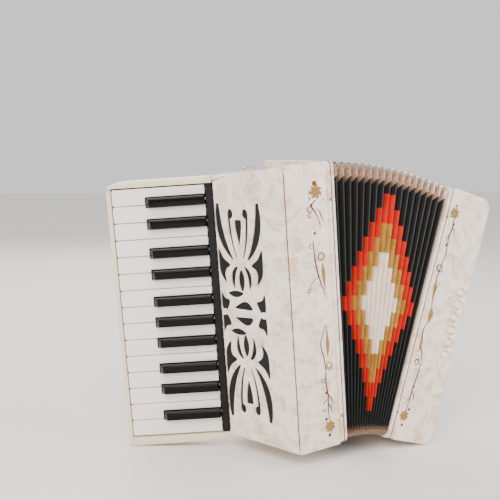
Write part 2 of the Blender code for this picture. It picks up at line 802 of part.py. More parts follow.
def make_bass_casing():
    left = FRAME_WIDTH + GAP
    casing = frontal_prism("bass_casing", bass_outline(left, BASS_WIDTH, 0, BASS_CORNER), FRONT, BACK)
    soften(casing, EDGE_ROUND, 2)
    inner = bass_outline(left - WALL, BASS_WIDTH - WALL, WALL, BASS_CORNER - WALL)
    cut(casing, frontal_prism("hollow", inner, FRONT + WALL, BACK - WALL))
    low = (BASS_WIDTH - 2 * WALL, FRONT + PLATE_MARGIN - GAP, PLATE_MARGIN - GAP)
    high = (BASS_WIDTH + WALL, BACK - PLATE_MARGIN + GAP, BASS_HEIGHT - PLATE_MARGIN + GAP)
    cut(casing, block("window", low, high))
    for x, z in button_places():
        hole = rod("hole", (x, FRONT - WALL, z), (x, FRONT + 2 * WALL, z), BUTTON_RADIUS + RUN_CLEAR, 16)
        cut(casing, hole)
    return casing


def make_bass_frame():
    outer = rounded_rectangle((FRONT, 0), (BACK, BASS_HEIGHT), FRAME_CORNER, 4)
    inner = rounded_rectangle(
        (FRONT + FRAME_RAIL, FRAME_RAIL), (BACK - FRAME_RAIL, BASS_HEIGHT - FRAME_RAIL), EDGE_ROUND * 2, 3
    )
    frame = sideways_prism("bass_bellows_frame", outer, 0, FRAME_WIDTH)
    cut(frame, sideways_prism("window", inner, -WALL, FRAME_WIDTH + WALL))
    return frame


def make_end_plate():
    low = (BASS_WIDTH - PLATE_THICK, FRONT + PLATE_MARGIN, PLATE_MARGIN)
    high = (BASS_WIDTH, BACK - PLATE_MARGIN, BASS_HEIGHT - PLATE_MARGIN)
    plate = block("bass_end_plate", low, high)
    x, y, z = air_place()
    cut(plate, rod("hole", (x - 2 * WALL, y, z), (x + WALL, y, z), AIR_RADIUS + RUN_CLEAR, 20))
    return plate


def make_button(index, x, z):
    """Domed button with a stem and a collar that stops it behind the front wall."""
    radius = BUTTON_RADIUS
    profile = [
        (0, 0), (0, radius * 0.55), (radius * 0.16, radius * 0.86), (radius * 0.42, radius),
        (BUTTON_STAND + WALL + RUN_CLEAR, radius), (BUTTON_STAND + WALL + RUN_CLEAR, COLLAR_RADIUS),
        (BUTTON_STAND + WALL * 1.5, COLLAR_RADIUS), (BUTTON_STAND + WALL * 1.5, radius * 0.5),
        (BUTTON_STAND + WALL * 4.5, radius * 0.5), (BUTTON_STAND + WALL * 4.5, 0),
    ]
    start = (x, FRONT - BUTTON_STAND, z)
    button = turned(f"bass_button_{index + 1:02d}", profile, start, (0, 1, 0), 10)
    return put_origin(button, (x, FRONT, z))


def make_air_button():
    x, y, z = air_place()
    profile = [
        (0, 0), (0, AIR_RADIUS * 0.6), (AIR_RADIUS * 0.3, AIR_RADIUS),
        (AIR_STAND + PLATE_THICK + RUN_CLEAR, AIR_RADIUS),
        (AIR_STAND + PLATE_THICK + RUN_CLEAR, AIR_RADIUS * 1.4),
        (AIR_STAND + PLATE_THICK * 1.6, AIR_RADIUS * 1.4), (AIR_STAND + PLATE_THICK * 1.6, AIR_RADIUS * 0.5),
        (AIR_STAND + PLATE_THICK * 3.5, AIR_RADIUS * 0.5), (AIR_STAND + PLATE_THICK * 3.5, 0),
    ]
    button = turned("air_button", profile, (x + AIR_STAND, y, z), (-1, 0, 0), 18)
    return put_origin(button, (x, y, z))


def make_strap():
    """Leather hand strap: flat ends on the plate and a low arch between them."""
    middle = BASS_HEIGHT / 2
    half = STRAP_SPAN / 2
    seat = STRAP_SEAT
    steps = 12
    outer = []
    inner = []
    for i in range(steps + 1):
        along = -half + seat + (STRAP_SPAN - 2 * seat) * i / steps
        lift = (STRAP_BOW - STRAP_THICK) * 0.5 * (1 + math.cos(math.pi * along / (half - seat)))
        inner.append((BASS_WIDTH + GAP + lift, middle + along))
        outer.append((BASS_WIDTH + GAP + STRAP_THICK + lift, middle + along))
    inner = [(BASS_WIDTH + GAP, middle - half)] + inner + [(BASS_WIDTH + GAP, middle + half)]
    high = BASS_WIDTH + GAP + STRAP_THICK
    outer = [(high, middle - half)] + outer + [(high, middle + half)]
    outline = inner + outer[::-1]
    return frontal_prism("bass_strap", outline, -STRAP_WIDTH / 2, STRAP_WIDTH / 2)


def make_foot(index, y, z):
    profile = [
        (0, 0), (0, FOOT_RADIUS), (FOOT_HEIGHT * 0.6, FOOT_RADIUS * 0.94),
        (FOOT_HEIGHT * 0.9, FOOT_RADIUS * 0.8), (FOOT_HEIGHT, FOOT_RADIUS * 0.6), (FOOT_HEIGHT, 0),
    ]
    return turned(f"foot_{index + 1}", profile, (BASS_WIDTH + GAP, y, z), (1, 0, 0), 20)


def make_bracket(name, edge, way):
    """Metal plate on the casing's back, with a loop for a shoulder strap past its edge.

    edge is the height of the plate's edge on the loop's side, and way is 1 up or -1 down.
    """
    x = (FRAME_LEFT + seat_corner().x) / 2 + BRACKET_OUT
    ends = sorted((edge, edge - way * BRACKET_HEIGHT))
    low = (x - BRACKET_WIDTH / 2, ends[0])
    high = (x + BRACKET_WIDTH / 2, ends[1])
    face = BACK + GAP + BRACKET_THICK
    plate = frontal_prism(name, rounded_rectangle(low, high, BRACKET_CORNER, 4), BACK + GAP, face)
    half = LOOP_WIDTH / 2
    root = edge - way * LOOP_ROOT
    tip = edge + way * LOOP_REACH
    inner = tip - way * LOOP_WIRE
    loop = [
        (x - half, root), (x - half, tip), (x + half, tip), (x + half, root),
        (x + half - LOOP_WIRE, root), (x + half - LOOP_WIRE, inner),
        (x - half + LOOP_WIRE, inner), (x - half + LOOP_WIRE, root),
    ]
    join(plate, frontal_prism("loop", loop, face - BRACKET_THICK / 2, face - BRACKET_THICK / 2 + LOOP_WIRE))
    return plate


# Assembly ----------------------------------------------------------------------------------------

def side_empty(name):
    empty = bpy.data.objects.new(name, None)
    bpy.context.scene.collection.objects.link(empty)
    return empty


def floor_lean():
    """Lean at which the keyboard's and the bass side's lowest outer corners are level."""
    radius = BED_CORNER
    left = key_point(KEY_LENGTH + LIP_GAP + LIP - radius, BED_BACK)
    corner = Vector((BASS_WIDTH - BASS_CORNER, 0, BASS_CORNER))
    turn = Matrix.Rotation(FAN, 3, "Y")
    right = Vector(fan_point(FAN, FOOT_RADIUS_OF_FAN, 0)) + turn @ corner
    lean = 0.0
    for _ in range(30):
        height_left = left.x * math.sin(lean) + (radius - BED_BELLY) * math.cos(lean) - radius
        height_right = right.x * math.sin(lean) + right.z * math.cos(lean) - BASS_CORNER
        lean += (height_left - height_right) / (right.x - left.x)
    return lean


def set_on_floor(treble):
    """Move the whole instrument so that its box stands on the floor, centred on the origin."""
    bpy.context.view_layer.update()
    low = Vector((1e9, 1e9, 1e9))
    high = -low
    for thing in bpy.data.objects:
        if thing.type != "MESH":
            continue
        for vertex in thing.data.vertices:
            point = thing.matrix_world @ vertex.co
            low = Vector(map(min, low, point))
            high = Vector(map(max, high, point))
    treble.location = -Vector(((low.x + high.x) / 2, (low.y + high.y) / 2, low.z))


def build():
    clear_scene()
    pearl = finish("pearl_celluloid", (0.80, 0.70, 0.62), 0.25)
    cream = finish("cream_edge", (0.85, 0.78, 0.68), 0.35)
    ivory = finish("white_key_plastic", (0.86, 0.83, 0.78), 0.2)
    ebony = finish("black_key_plastic", (0.012, 0.012, 0.013), 0.25)
    cloth = finish("bellows_cloth", (0.015, 0.015, 0.017), 0.6)
    steel = finish("steel", (0.6, 0.58, 0.55), 0.3, 1.0)
    wood = finish("spruce", (0.62, 0.45, 0.27), 0.6)
    leather = finish("black_leather", (0.02, 0.018, 0.017), 0.5)
    rubber = finish("black_rubber", (0.02, 0.02, 0.02), 0.8)

    treble = side_empty("treble_side")
    bass = side_empty("bass_side")
    bass.parent = treble
    bass.location = fan_point(FAN, FOOT_RADIUS_OF_FAN, 0)
    bass.rotation_euler = (0, FAN, 0)
    treble.rotation_euler = (0, -floor_lean(), 0)

    hang(make_treble_casing(), treble, pearl)
    hang(make_treble_frame(), treble, cream)
    hang(make_grille(), treble, pearl)
    hang(make_keyboard_bed(), treble, cream)
    hang(make_key_axle(), treble, steel, True)
    heights = [sum(white_tail(index)) / 2 for index in range(WHITE_COUNT)] + black_places()
    for index in range(WHITE_COUNT):
        hang(make_white_key(index), treble, ivory)
    for index, height in enumerate(black_places()):
        hang(make_black_key(index, height), treble, ebony)
    pallet_middle = -PALLET_START - PALLET_LENGTH / 2
    hole_length = PALLET_LENGTH * PALLET_HOLE_SHARE
    board = make_soundboard(
        "treble_soundboard", BOARD_LEFT, heights, TREBLE_HEIGHT, hole_length, pallet_middle
    )
    hang(common(board, contour_prism(WALL + GAP)), treble, wood)
    reeds = make_reed_block(
        "treble_reed_block", BOARD_LEFT + BOARD_THICK + GAP, REED_BLOCK_WIDTH, REED_BLOCK_DEPTH,
        pallet_middle, heights, KEYBOARD_BOTTOM + WALL, KEYBOARD_BOTTOM + KEYBOARD_SPAN - WALL / 2,
    )
    hang(reeds, treble, wood)
    upper_edge = TREBLE_HEIGHT - SHOULDER + UPPER_LOOP_RISE - LOOP_REACH
    hang(make_bracket("strap_bracket_upper", upper_edge, 1), treble, steel)
    hang(make_bracket("strap_bracket_lower", LOWER_BRACKET_INSET, -1), treble, steel)

    seam = GAP / FOOT_RADIUS_OF_FAN
    fold_half = math.atan(FOLD_WALL / 2 / FOOT_RADIUS_OF_FAN)
    hinged = make_folds("bellows_hinged_folds", seam, HINGED_ANGLE - fold_half - seam, HINGED_FOLDS)
    hang(hinged, treble, cloth)
    hang(make_middle_fold(), treble, cloth)
    drawn = make_folds(
        "bellows_drawn_folds", HINGED_ANGLE + fold_half + seam, FAN - seam, FOLD_COUNT - HINGED_FOLDS
    )
    hang(drawn, treble, cloth)

    hang(make_bass_frame(), bass, cream)
    hang(make_bass_casing(), bass, pearl)
    hang(make_end_plate(), bass, pearl)
    for index, (x, z) in enumerate(button_places()):
        hang(make_button(index, x, z), bass, ivory, True)
    hang(make_air_button(), bass, ivory, True)
    hang(make_strap(), bass, leather)
    rows = (FOOT_INSET, BASS_HEIGHT - FOOT_INSET)
    columns = (FRONT + FOOT_INSET, BACK - FOOT_INSET)
    for index, (y, z) in enumerate([(y, z) for z in rows for y in columns]):
        hang(make_foot(index, y, z), bass, rubber, True)
    bass_left = FRAME_WIDTH + WALL
    half_run = (BASS_REED_ROWS - 1) / 2 * BASS_REED_PITCH
    bass_rows = [BASS_HEIGHT / 2 - half_run + row * BASS_REED_PITCH for row in range(BASS_REED_ROWS)]
    bass_board = make_soundboard("bass_soundboard", bass_left, bass_rows, BASS_HEIGHT, hole_length, 0)
    hang(bass_board, bass, wood)
    bass_reeds = make_reed_block(
        "bass_reed_block", bass_left - REED_BLOCK_DEPTH - GAP, REED_BLOCK_DEPTH, REED_BLOCK_DEPTH, 0,
        bass_rows, bass_rows[0] - BASS_REED_PITCH / 2, bass_rows[-1] + BASS_REED_PITCH / 2,
    )
    hang(bass_reeds, bass, wood)
    set_on_floor(treble)


build()
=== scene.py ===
# %% [markdown]
# # A small piano accordion
# The instrument stands on the lower ends of its two sides with the bellows fanned open at the
# top. The measured model gives every piece its place and its motion; this lesson makes each piece
# again with the edges, linings, leathers and finishes that a maker would give it.

# %% The measured model
import json
import math

import bmesh
import bpy
from mathutils import Matrix, Vector


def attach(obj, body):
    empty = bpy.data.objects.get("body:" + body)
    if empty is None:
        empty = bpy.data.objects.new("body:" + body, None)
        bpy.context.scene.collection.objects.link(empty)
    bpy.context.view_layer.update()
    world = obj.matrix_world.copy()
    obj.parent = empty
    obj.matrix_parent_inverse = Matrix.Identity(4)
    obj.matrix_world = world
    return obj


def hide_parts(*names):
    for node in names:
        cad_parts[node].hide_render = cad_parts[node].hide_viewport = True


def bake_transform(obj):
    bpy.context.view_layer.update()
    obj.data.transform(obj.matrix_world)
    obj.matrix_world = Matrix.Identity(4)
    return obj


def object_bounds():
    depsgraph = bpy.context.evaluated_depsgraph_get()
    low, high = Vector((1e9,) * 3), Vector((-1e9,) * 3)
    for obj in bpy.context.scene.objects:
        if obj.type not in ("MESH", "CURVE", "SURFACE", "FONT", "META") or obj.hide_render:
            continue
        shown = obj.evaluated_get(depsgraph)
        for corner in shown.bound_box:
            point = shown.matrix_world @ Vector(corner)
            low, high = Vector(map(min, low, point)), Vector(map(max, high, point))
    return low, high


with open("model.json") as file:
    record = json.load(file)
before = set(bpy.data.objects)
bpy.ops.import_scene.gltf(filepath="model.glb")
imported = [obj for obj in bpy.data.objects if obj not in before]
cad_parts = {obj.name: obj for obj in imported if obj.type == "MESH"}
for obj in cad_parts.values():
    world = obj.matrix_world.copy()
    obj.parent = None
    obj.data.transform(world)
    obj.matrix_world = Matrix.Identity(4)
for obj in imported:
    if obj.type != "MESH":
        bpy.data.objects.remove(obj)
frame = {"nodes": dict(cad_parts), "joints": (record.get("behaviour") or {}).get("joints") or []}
nodes = frame["nodes"]
measured_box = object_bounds()

# %% [markdown]
# ## Where the two sides stand
# The keyboard side and the bass side are each built square in a workshop, then lean apart when
# the bellows open. Each side gets its own frame: X across the instrument, Y from front to back,
# Z up the side. The keys turn about the keyboard side's own upright, and the bellows draw along
# the bass side's own X.

# %% Side frames
MM = 0.001
CASING_WIDTH = 56.7 * MM
HEIGHT = 295.0 * MM
BASS_HEIGHT = 282.9 * MM
BASS_WIDTH = 63.0 * MM
DEPTH = 128.0 * MM
FRONT = -DEPTH / 2
BACK = DEPTH / 2
FRAME_WIDTH = 8.5 * MM
INNER_FACE = CASING_WIDTH / 2
FRAME_LEFT = INNER_FACE - FRAME_WIDTH
joints = {joint["name"]: joint for joint in frame["joints"]}


def side_frame(up, piece, edge, pick):
    """Frame of one side from its upright and the bellows frame that closes it."""
    forward = Vector((0, 1, 0))
    up = Vector(up).normalized()
    across = forward.cross(up)
    turn = Matrix((across, forward, up)).transposed()
    local = [turn.transposed() @ v.co for v in nodes[piece].data.vertices]
    x = pick(p.x for p in local) - edge
    y = (min(p.y for p in local) + max(p.y for p in local)) / 2
    z = min(p.z for p in local)
    return Matrix.Translation(turn @ Vector((x, y, z))) @ turn.to_4x4()


key_axis = Vector(joints["key_white_01_press"]["axis"])
TREBLE = side_frame(-key_axis, "treble_bellows_frame", INNER_FACE, max)
draw = Vector(joints["bellows_draw"]["axis"])
BASS = side_frame((-draw.z, 0, draw.x), "bass_bellows_frame", 0.0, min)
print("keyboard side leans", round(math.degrees(math.atan2(TREBLE[2][0], TREBLE[0][0])), 2), "degrees")

# %% [markdown]
# ## Flat frames to work in
# A maker lays a piece flat on the bench to cut it. Each of these frames is such a bench: its X
# and Y lie in the piece's face and its Z runs through the thickness.

# %% Bench frames
GRILLE_EDGE = Vector((-65.451, 22.241, 0)) * MM
RIDGE = Vector((-CASING_WIDTH / 2, FRONT, 0))
GRILLE_RUN = (GRILLE_EDGE - RIDGE).normalized()
GRILLE_WIDTH = (GRILLE_EDGE - RIDGE).length
INCLINE = math.radians(29.75)
KEY_REAR = Vector((-CASING_WIDTH / 2 - 42.0 * MM, BACK - 33.2 * MM, 0))
ALONG_KEY = Vector((-math.cos(INCLINE), math.sin(INCLINE), 0))
UP = Vector((0, 0, 1))


def bench(side, origin, across, up):
    """Frame whose Z is square to across and up."""
    turn = Matrix((across, up, across.cross(up))).transposed().to_4x4()
    return side @ Matrix.Translation(origin) @ turn


X, Y = Vector((1, 0, 0)), Vector((0, 1, 0))
GRILLE = bench(TREBLE, RIDGE, GRILLE_RUN, UP)
KEYBOARD = bench(TREBLE, KEY_REAR, ALONG_KEY, UP)
TREBLE_FRONT = bench(TREBLE, Vector((0, FRONT, 0)), X, UP)
TREBLE_SIDE = bench(TREBLE, Vector((0, 0, 0)), Y, UP)
BASS_FRONT = bench(BASS, Vector((0, FRONT, 0)), X, UP)
BASS_BACK = bench(BASS, Vector((0, BACK, 0)), -X, UP)
BASS_SIDE = bench(BASS, Vector((0, 0, 0)), Y, UP)
BASS_END = bench(BASS, Vector((BASS_WIDTH, 0, 0)), Y, UP)
TREBLE_BACK = bench(TREBLE, Vector((0, BACK, 0)), -X, UP)
print("grille width", round(GRILLE_WIDTH / MM, 1), "mm")

# %% [markdown]
# ## Finishes
# Colours are written as they look on a colour card and turned into the linear values a shader
# works with.

# %% Colour and node helpers
def linear(card):
    """Linear colour from a card colour such as #F3E9DF."""
    values = [int(card[i:i + 2], 16) / 255 for i in (1, 3, 5)]
    return tuple(v / 12.92 if v <= 0.04045 else ((v + 0.055) / 1.055) ** 2.4 for v in values) + (1.0,)


def node(tree, kind, inputs=(), **settings):
    """Add one shader node; an input that is a socket is linked, anything else is a value."""
    made = tree.nodes.new("ShaderNode" + kind)
    for name, value in settings.items():
        setattr(made, name, value)
    for key, value in dict(inputs).items():
        if isinstance(value, bpy.types.NodeSocket):
            tree.links.new(value, made.inputs[key])
        else:
            made.inputs[key].default_value = value
    return made


def finish(name, **values):
    """New material with its shader; values are the shader's own sockets."""
    material = bpy.data.materials.new(name)
    material.use_nodes = True
    tree = material.node_tree
    shader = tree.nodes["Principled BSDF"]
    for key, value in values.items():
        shader.inputs[key.replace("_", " ")].default_value = value
    place = node(tree, "TexCoord").outputs["Object"]
    return material, tree, shader, place


def tones(tree, factor, *stops):
    """Colour ramp over factor; each stop is (position, card colour)."""
    ramp = node(tree, "ValToRGB", {"Fac": factor})
    elements = ramp.color_ramp.elements
    while len(elements) < len(stops):
        elements.new(0.5)
    for element, (position, card) in zip(elements, stops):
        element.position = position
        element.color = linear(card)
    return ramp.outputs["Color"]


def relief(tree, shader, height, depth, strength=1.0):
    """Let a height pattern of the given depth in metres roughen the surface."""
    bump = node(tree, "Bump", {"Height": height, "Distance": depth, "Strength": strength})
    tree.links.new(bump.outputs["Normal"], shader.inputs["Normal"])


# %% [markdown]
# ### Pearl celluloid
# The casings are wood covered with a thin sheet of celluloid. Pearl flakes drift in the sheet as
# it is cast and leave soft marbled clouds about a centimetre wide, under a polished surface.

# %% Pearl celluloid
def pearl_celluloid(name, shade, middle, light):
    material, tree, shader, place = finish(name, Roughness=0.24, Coat_Weight=0.6, Coat_Roughness=0.08)
    # Clouds are 14 mm across, so 70 to the metre; flakes are 3 mm, so 330 to the metre
    drift = node(tree, "TexNoise", {"Vector": place, "Scale": 38.0, "Detail": 3.0}).outputs["Color"]
    bent = node(tree, "MixRGB", {"Fac": 0.045, "Color1": place, "Color2": drift}).outputs["Color"]
    clouds = node(tree, "TexNoise", {"Vector": bent, "Scale": 70.0, "Detail": 5.0, "Roughness": 0.55})
    flakes = node(tree, "TexVoronoi", {"Vector": bent, "Scale": 330.0})
    mixed = node(
        tree, "Math", {0: flakes.outputs["Distance"], 1: 0.22, 2: clouds.outputs["Fac"]},
        operation="MULTIPLY_ADD",
    )
    base = tones(tree, mixed.outputs[0], (0.40, shade), (0.55, middle), (0.68, light))
    tree.links.new(base, shader.inputs["Base Color"])
    gloss = node(tree, "MapRange", {"Value": mixed.outputs[0], "To Min": 0.34, "To Max": 0.16})
    tree.links.new(gloss.outputs["Result"], shader.inputs["Roughness"])
    return material


PEARL = pearl_celluloid("pearl_celluloid", "#D9B79C", "#F0D5C0", "#FCEDE0")
GRILLE_PEARL = pearl_celluloid("grille_celluloid", "#D9BBA5", "#F0DACA", "#FDF1E7")
print("pearl finishes:", PEARL.name, GRILLE_PEARL.name)

# %% [markdown]
# ### Plain plastics, paint and rubber
# The frames and the keyboard's edge are plain cream celluloid; the keys are polished plastic; the
# ornaments are thick paint. Each has a faint unevenness so that its highlights break up a little.

# %% Plain finishes
def plain(
    name, card, roughness, grain=0.12, coat=0.0, metal=0.0, grain_size=6.0, depth=0.00002, shine=0.5,
):
    """One colour with a soft unevenness; grain_size is in millimetres."""
    material, tree, shader, place = finish(name, Metallic=metal, Coat_Weight=coat)
    shader.inputs["Base Color"].default_value = linear(card)
    shader.inputs["Specular IOR Level"].default_value = shine
    waves = node(tree, "TexNoise", {"Vector": place, "Scale": 1000.0 / grain_size, "Detail": 4.0})
    rough = node(tree, "MapRange", {"Value": waves.outputs["Fac"], "From Min": 0.3, "From Max": 0.7})
    rough.inputs["To Min"].default_value = roughness * (1 - grain)
    rough.inputs["To Max"].default_value = roughness * (1 + grain)
    tree.links.new(rough.outputs["Result"], shader.inputs["Roughness"])
    relief(tree, shader, waves.outputs["Fac"], depth)
    return material


CREAM = plain("cream_celluloid", "#F0DDC6", 0.30, coat=0.4)
WHITE_KEY = plain("white_key_plastic", "#FBF3EC", 0.16, coat=0.5, depth=0.000008)
KEY_WOOD = plain("white_key_core", "#E9E0D0", 0.4)
BLACK_KEY = plain("black_key_plastic", "#040405", 0.16, shine=0.16, depth=0.000008)
BUTTON = plain("button_plastic", "#FDF5E8", 0.22, coat=0.4)
BROWN_LINE = plain("brown_line", "#3E2415", 0.4)
GOLD_PAINT = plain("vine_gold", "#94732C", 0.42, grain=0.3, depth=0.00006)
BROWN_PAINT = plain("vine_brown", "#4A2B18", 0.4, grain=0.3, depth=0.00006)
RED_PAINT = plain("vine_red", "#7E1814", 0.35, grain=0.3, depth=0.00006)
NICKEL = plain("nickel_plate", "#C9C4BC", 0.24, grain=0.35, metal=1.0, grain_size=1.5)
BRONZE = plain("corner_bronze", "#CDB8A8", 0.34, grain=0.4, metal=1.0, grain_size=1.8)
LEVER_METAL = plain("lever_aluminium", "#B9BABC", 0.35, grain=0.3, metal=1.0)
BRASS = plain("brass_stud", "#B08A4A", 0.3, grain=0.3, metal=1.0)
RUBBER = plain("foot_rubber", "#161514", 0.75, grain_size=1.2, depth=0.00012)
THREAD = plain("waxed_thread", "#8E8474", 0.6, grain_size=0.4, depth=0.0001)
FELT = plain("red_felt", "#5E1A1C", 0.95, grain_size=0.5, depth=0.00025)
print("plain finishes done")

# %% [markdown]
# ### Cloth, paper, leather and spruce
# The bellows are cardboard covered with black cloth, with bright paper pasted on in steps. Cloth
# shows its weave, leather its grain, and spruce its straight year rings.

# %% Woven, grained and wooden finishes
def woven(name, card, bright, roughness, pitch, depth):
    """Plain weave; pitch is the distance between threads in millimetres."""
    material, tree, shader, place = finish(name, Roughness=roughness)
    scale = 1000.0 / pitch / 2
    rows = node(tree, "TexWave", {"Vector": place, "Scale": scale / 3.14}, bands_direction="Z")
    columns = node(tree, "TexWave", {"Vector": place, "Scale": scale / 3.14}, bands_direction="DIAGONAL")
    both = node(tree, "Math", {0: rows.outputs["Fac"], 1: columns.outputs["Fac"]}, operation="MULTIPLY")
    wear = node(tree, "TexNoise", {"Vector": place, "Scale": 55.0, "Detail": 6.0})
    dusty = node(tree, "Math", {0: both.outputs[0], 1: wear.outputs["Fac"]}, operation="MULTIPLY")
    base = tones(tree, dusty.outputs[0], (0.15, card), (0.75, bright))
    tree.links.new(base, shader.inputs["Base Color"])
    relief(tree, shader, both.outputs[0], depth)
    return material


def grained(name, card, bright, roughness, size, depth):
    """Leather or pressed paper; size is the width of one pebble in millimetres."""
    material, tree, shader, place = finish(name, Roughness=roughness)
    pebbles = node(tree, "TexVoronoi", {"Vector": place, "Scale": 1000.0 / size}, feature="SMOOTH_F1")
    clouds = node(tree, "TexNoise", {"Vector": place, "Scale": 90.0, "Detail": 5.0})
    both = node(
        tree, "Math", {0: pebbles.outputs["Distance"], 1: 0.5, 2: clouds.outputs["Fac"]},
        operation="MULTIPLY_ADD",
    )
    base = tones(tree, both.outputs[0], (0.3, card), (0.9, bright))
    tree.links.new(base, shader.inputs["Base Color"])
    relief(tree, shader, pebbles.outputs["Distance"], depth)
    return material


def spruce(name):
    """Straight-grained wood; one year ring is 1.5 mm wide."""
    material, tree, shader, place = finish(name, Roughness=0.55)
    rings = node(tree, "TexWave", {"Vector": place, "Scale": 105.0, "Distortion": 2.5, "Detail": 3.0})
    base = tones(tree, rings.outputs["Fac"], (0.2, "#CFA56E"), (0.9, "#E6C592"))
    tree.links.new(base, shader.inputs["Base Color"])
    relief(tree, shader, rings.outputs["Fac"], 0.00005)
    return material


BELLOWS_CLOTH = woven("bellows_cloth", "#09090A", "#19181A", 0.66, 0.7, 0.00006)
GRILLE_CLOTH = woven("grille_cloth", "#070708", "#19181A", 0.8, 0.9, 0.0001)
RIDGE_TAPE = grained("ridge_tape", "#1D1F20", "#333636", 0.5, 0.9, 0.00005)
RED_PAPER = grained("red_paper", "#B51A12", "#D2281B", 0.42, 1.4, 0.00003)
GOLD_PAPER = grained("gold_paper", "#8A6226", "#C29546", 0.4, 1.4, 0.00003)
WHITE_PAPER = grained("white_paper", "#E4CDBE", "#F7EBE0", 0.42, 1.4, 0.00003)
LEATHER = grained("strap_leather", "#0E0C0B", "#262120", 0.45, 1.3, 0.00018)
SPRUCE = spruce("spruce_board")
PALLET_LEATHER = grained("pallet_leather", "#B9A58A", "#D8C8B0", 0.8, 0.8, 0.0001)
print("materials:", len(bpy.data.materials))

# %% [markdown]
# ## Tools for making pieces
# Four tools do nearly all the work: a slab cut from sheet with rounded edges and any number of
# openings, a lathe, a tube bent from wire, and a way to take a measured piece and ease its edges.

# %% Making tools
def add_piece(name, mesh, body, finishes, replaced=(), sharp=35):
    """Hang a finished mesh on its moving part, with its finish and the measured pieces it shows."""
    thing = bpy.data.objects.new(name, mesh)
    bpy.context.scene.collection.objects.link(thing)
    numbers = [face.material_index for face in mesh.polygons]
    mesh.materials.clear()
    for one in finishes if isinstance(finishes, (list, tuple)) else [finishes]:
        mesh.materials.append(one)
    if len(mesh.materials) > 1:
        mesh.polygons.foreach_set("material_index", numbers)
    mesh.shade_smooth()
    mesh.set_sharp_from_angle(angle=math.radians(sharp))
    if body:
        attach(thing, body)
    if replaced:
        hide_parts(*replaced)
    return thing


def mesh_from(vertices, faces, side, marks=None):
    """Mesh from points given in a side's or bench's frame; marks gives each face's finish."""
    mesh = bpy.data.meshes.new("piece")
    mesh.from_pydata([side @ Vector(v) for v in vertices], [], faces)
    if marks:
        mesh.polygons.foreach_set("material_index", marks)
    bm = bmesh.new()
    bm.from_mesh(mesh)
    bmesh.ops.recalc_face_normals(bm, faces=bm.faces)
    bm.to_mesh(mesh)
    bm.free()
    return mesh


def slab(outlines, low, high, place, edge=0.0003, steps=2):
    """Sheet cut to the first outline with openings at the others, its edges rounded."""
    curve = bpy.data.curves.new("sheet", "CURVE")
    curve.dimensions = "2D"
    curve.fill_mode = "BOTH"
    curve.extrude = (high - low) / 2 - edge
    curve.bevel_depth = edge
    curve.bevel_resolution = steps
    curve.offset = -edge
    for outline in outlines:
        line = curve.splines.new("POLY")
        line.points.add(len(outline) - 1)
        for point, (x, y) in zip(line.points, outline):
            point.co = (x, y, 0, 1)
        line.use_cyclic_u = True
    holder = bpy.data.objects.new("sheet", curve)
    bpy.context.scene.collection.objects.link(holder)
    shape = holder.evaluated_get(bpy.context.evaluated_depsgraph_get())
    mesh = bpy.data.meshes.new_from_object(shape)
    bpy.data.objects.remove(holder)
    bm = bmesh.new()
    bm.from_mesh(mesh)
    bmesh.ops.remove_doubles(bm, verts=bm.verts, dist=0.000004)
    bmesh.ops.transform(bm, matrix=place @ Matrix.Translation((0, 0, (low + high) / 2)), verts=bm.verts)
    bmesh.ops.recalc_face_normals(bm, faces=bm.faces)
    bm.to_mesh(mesh)
    bm.free()
    return mesh


def gathered(*meshes):
    """One mesh from several; each keeps its own finish number, in the order given."""
    bm = bmesh.new()
    for number, mesh in meshes:
        before = len(bm.faces)
        bm.from_mesh(mesh)
        bm.faces.ensure_lookup_table()
        for face in bm.faces[before:]:
            face.material_index = number
    whole = bpy.data.meshes.new("piece")
    bm.to_mesh(whole)
    bm.free()
    return whole


def rectangle(low, high, radius=0.0, steps=5):
    """Outline of a rectangle with round corners."""
    if radius == 0:
        return [low, (high[0], low[1]), high, (low[0], high[1])]
    points = []
    centres = [(high[0] - radius, high[1] - radius), (low[0] + radius, high[1] - radius)]
    centres += [(low[0] + radius, low[1] + radius), (high[0] - radius, low[1] + radius)]
    for quarter, (x, y) in enumerate(centres):
        for i in range(steps + 1):
            angle = math.pi / 2 * (quarter + i / steps)
            points.append((x + radius * math.cos(angle), y + radius * math.sin(angle)))
    return points


def circle(centre, radius, steps=32, stretch=1.0):
    """Outline of a circle, or of an oval when it is stretched along its second axis."""
    x, y = centre
    turns = [math.tau * i / steps for i in range(steps)]
    return [(x + radius * math.cos(a), y + radius * stretch * math.sin(a)) for a in turns]


def lathe(profile, place, sides=32):
    """Turned piece about the bench's Z; profile is (height, radius) from one end to the other."""
    vertices, faces = [], []
    for height, radius in profile:
        for i in range(sides):
            angle = math.tau * i / sides
            vertices.append((radius * math.cos(angle), radius * math.sin(angle), height))
    for ring in range(len(profile) - 1):
        for i in range(sides):
            j = (i + 1) % sides
            base = ring * sides
            faces.append((base + i, base + j, base + sides + j, base + sides + i))
    faces.append(tuple(range(sides)))
    faces.append(tuple(range((len(profile) - 1) * sides, len(profile) * sides)))
    return mesh_from(vertices, faces, place)


def smooth_line(points, steps=6, closed=False):
    """Curve through the points, with steps between each two."""
    count = len(points)
    result = []
    for i in range(count if closed else count - 1):
        if closed:
            around = [Vector(points[(i + j) % count]) for j in (-1, 0, 1, 2)]
        else:
            around = [Vector(points[min(max(i + j, 0), count - 1)]) for j in (-1, 0, 1, 2)]
        a, b, c, d = around
        for step in range(steps):
            t = step / steps
            result.append(
                (b * 2 + (c - a) * t + (a * 2 - b * 5 + c * 4 - d) * t * t
                 + (b * 3 - a - c * 3 + d) * t ** 3) / 2
            )
    if not closed:
        result.append(Vector(points[-1]))
    return result


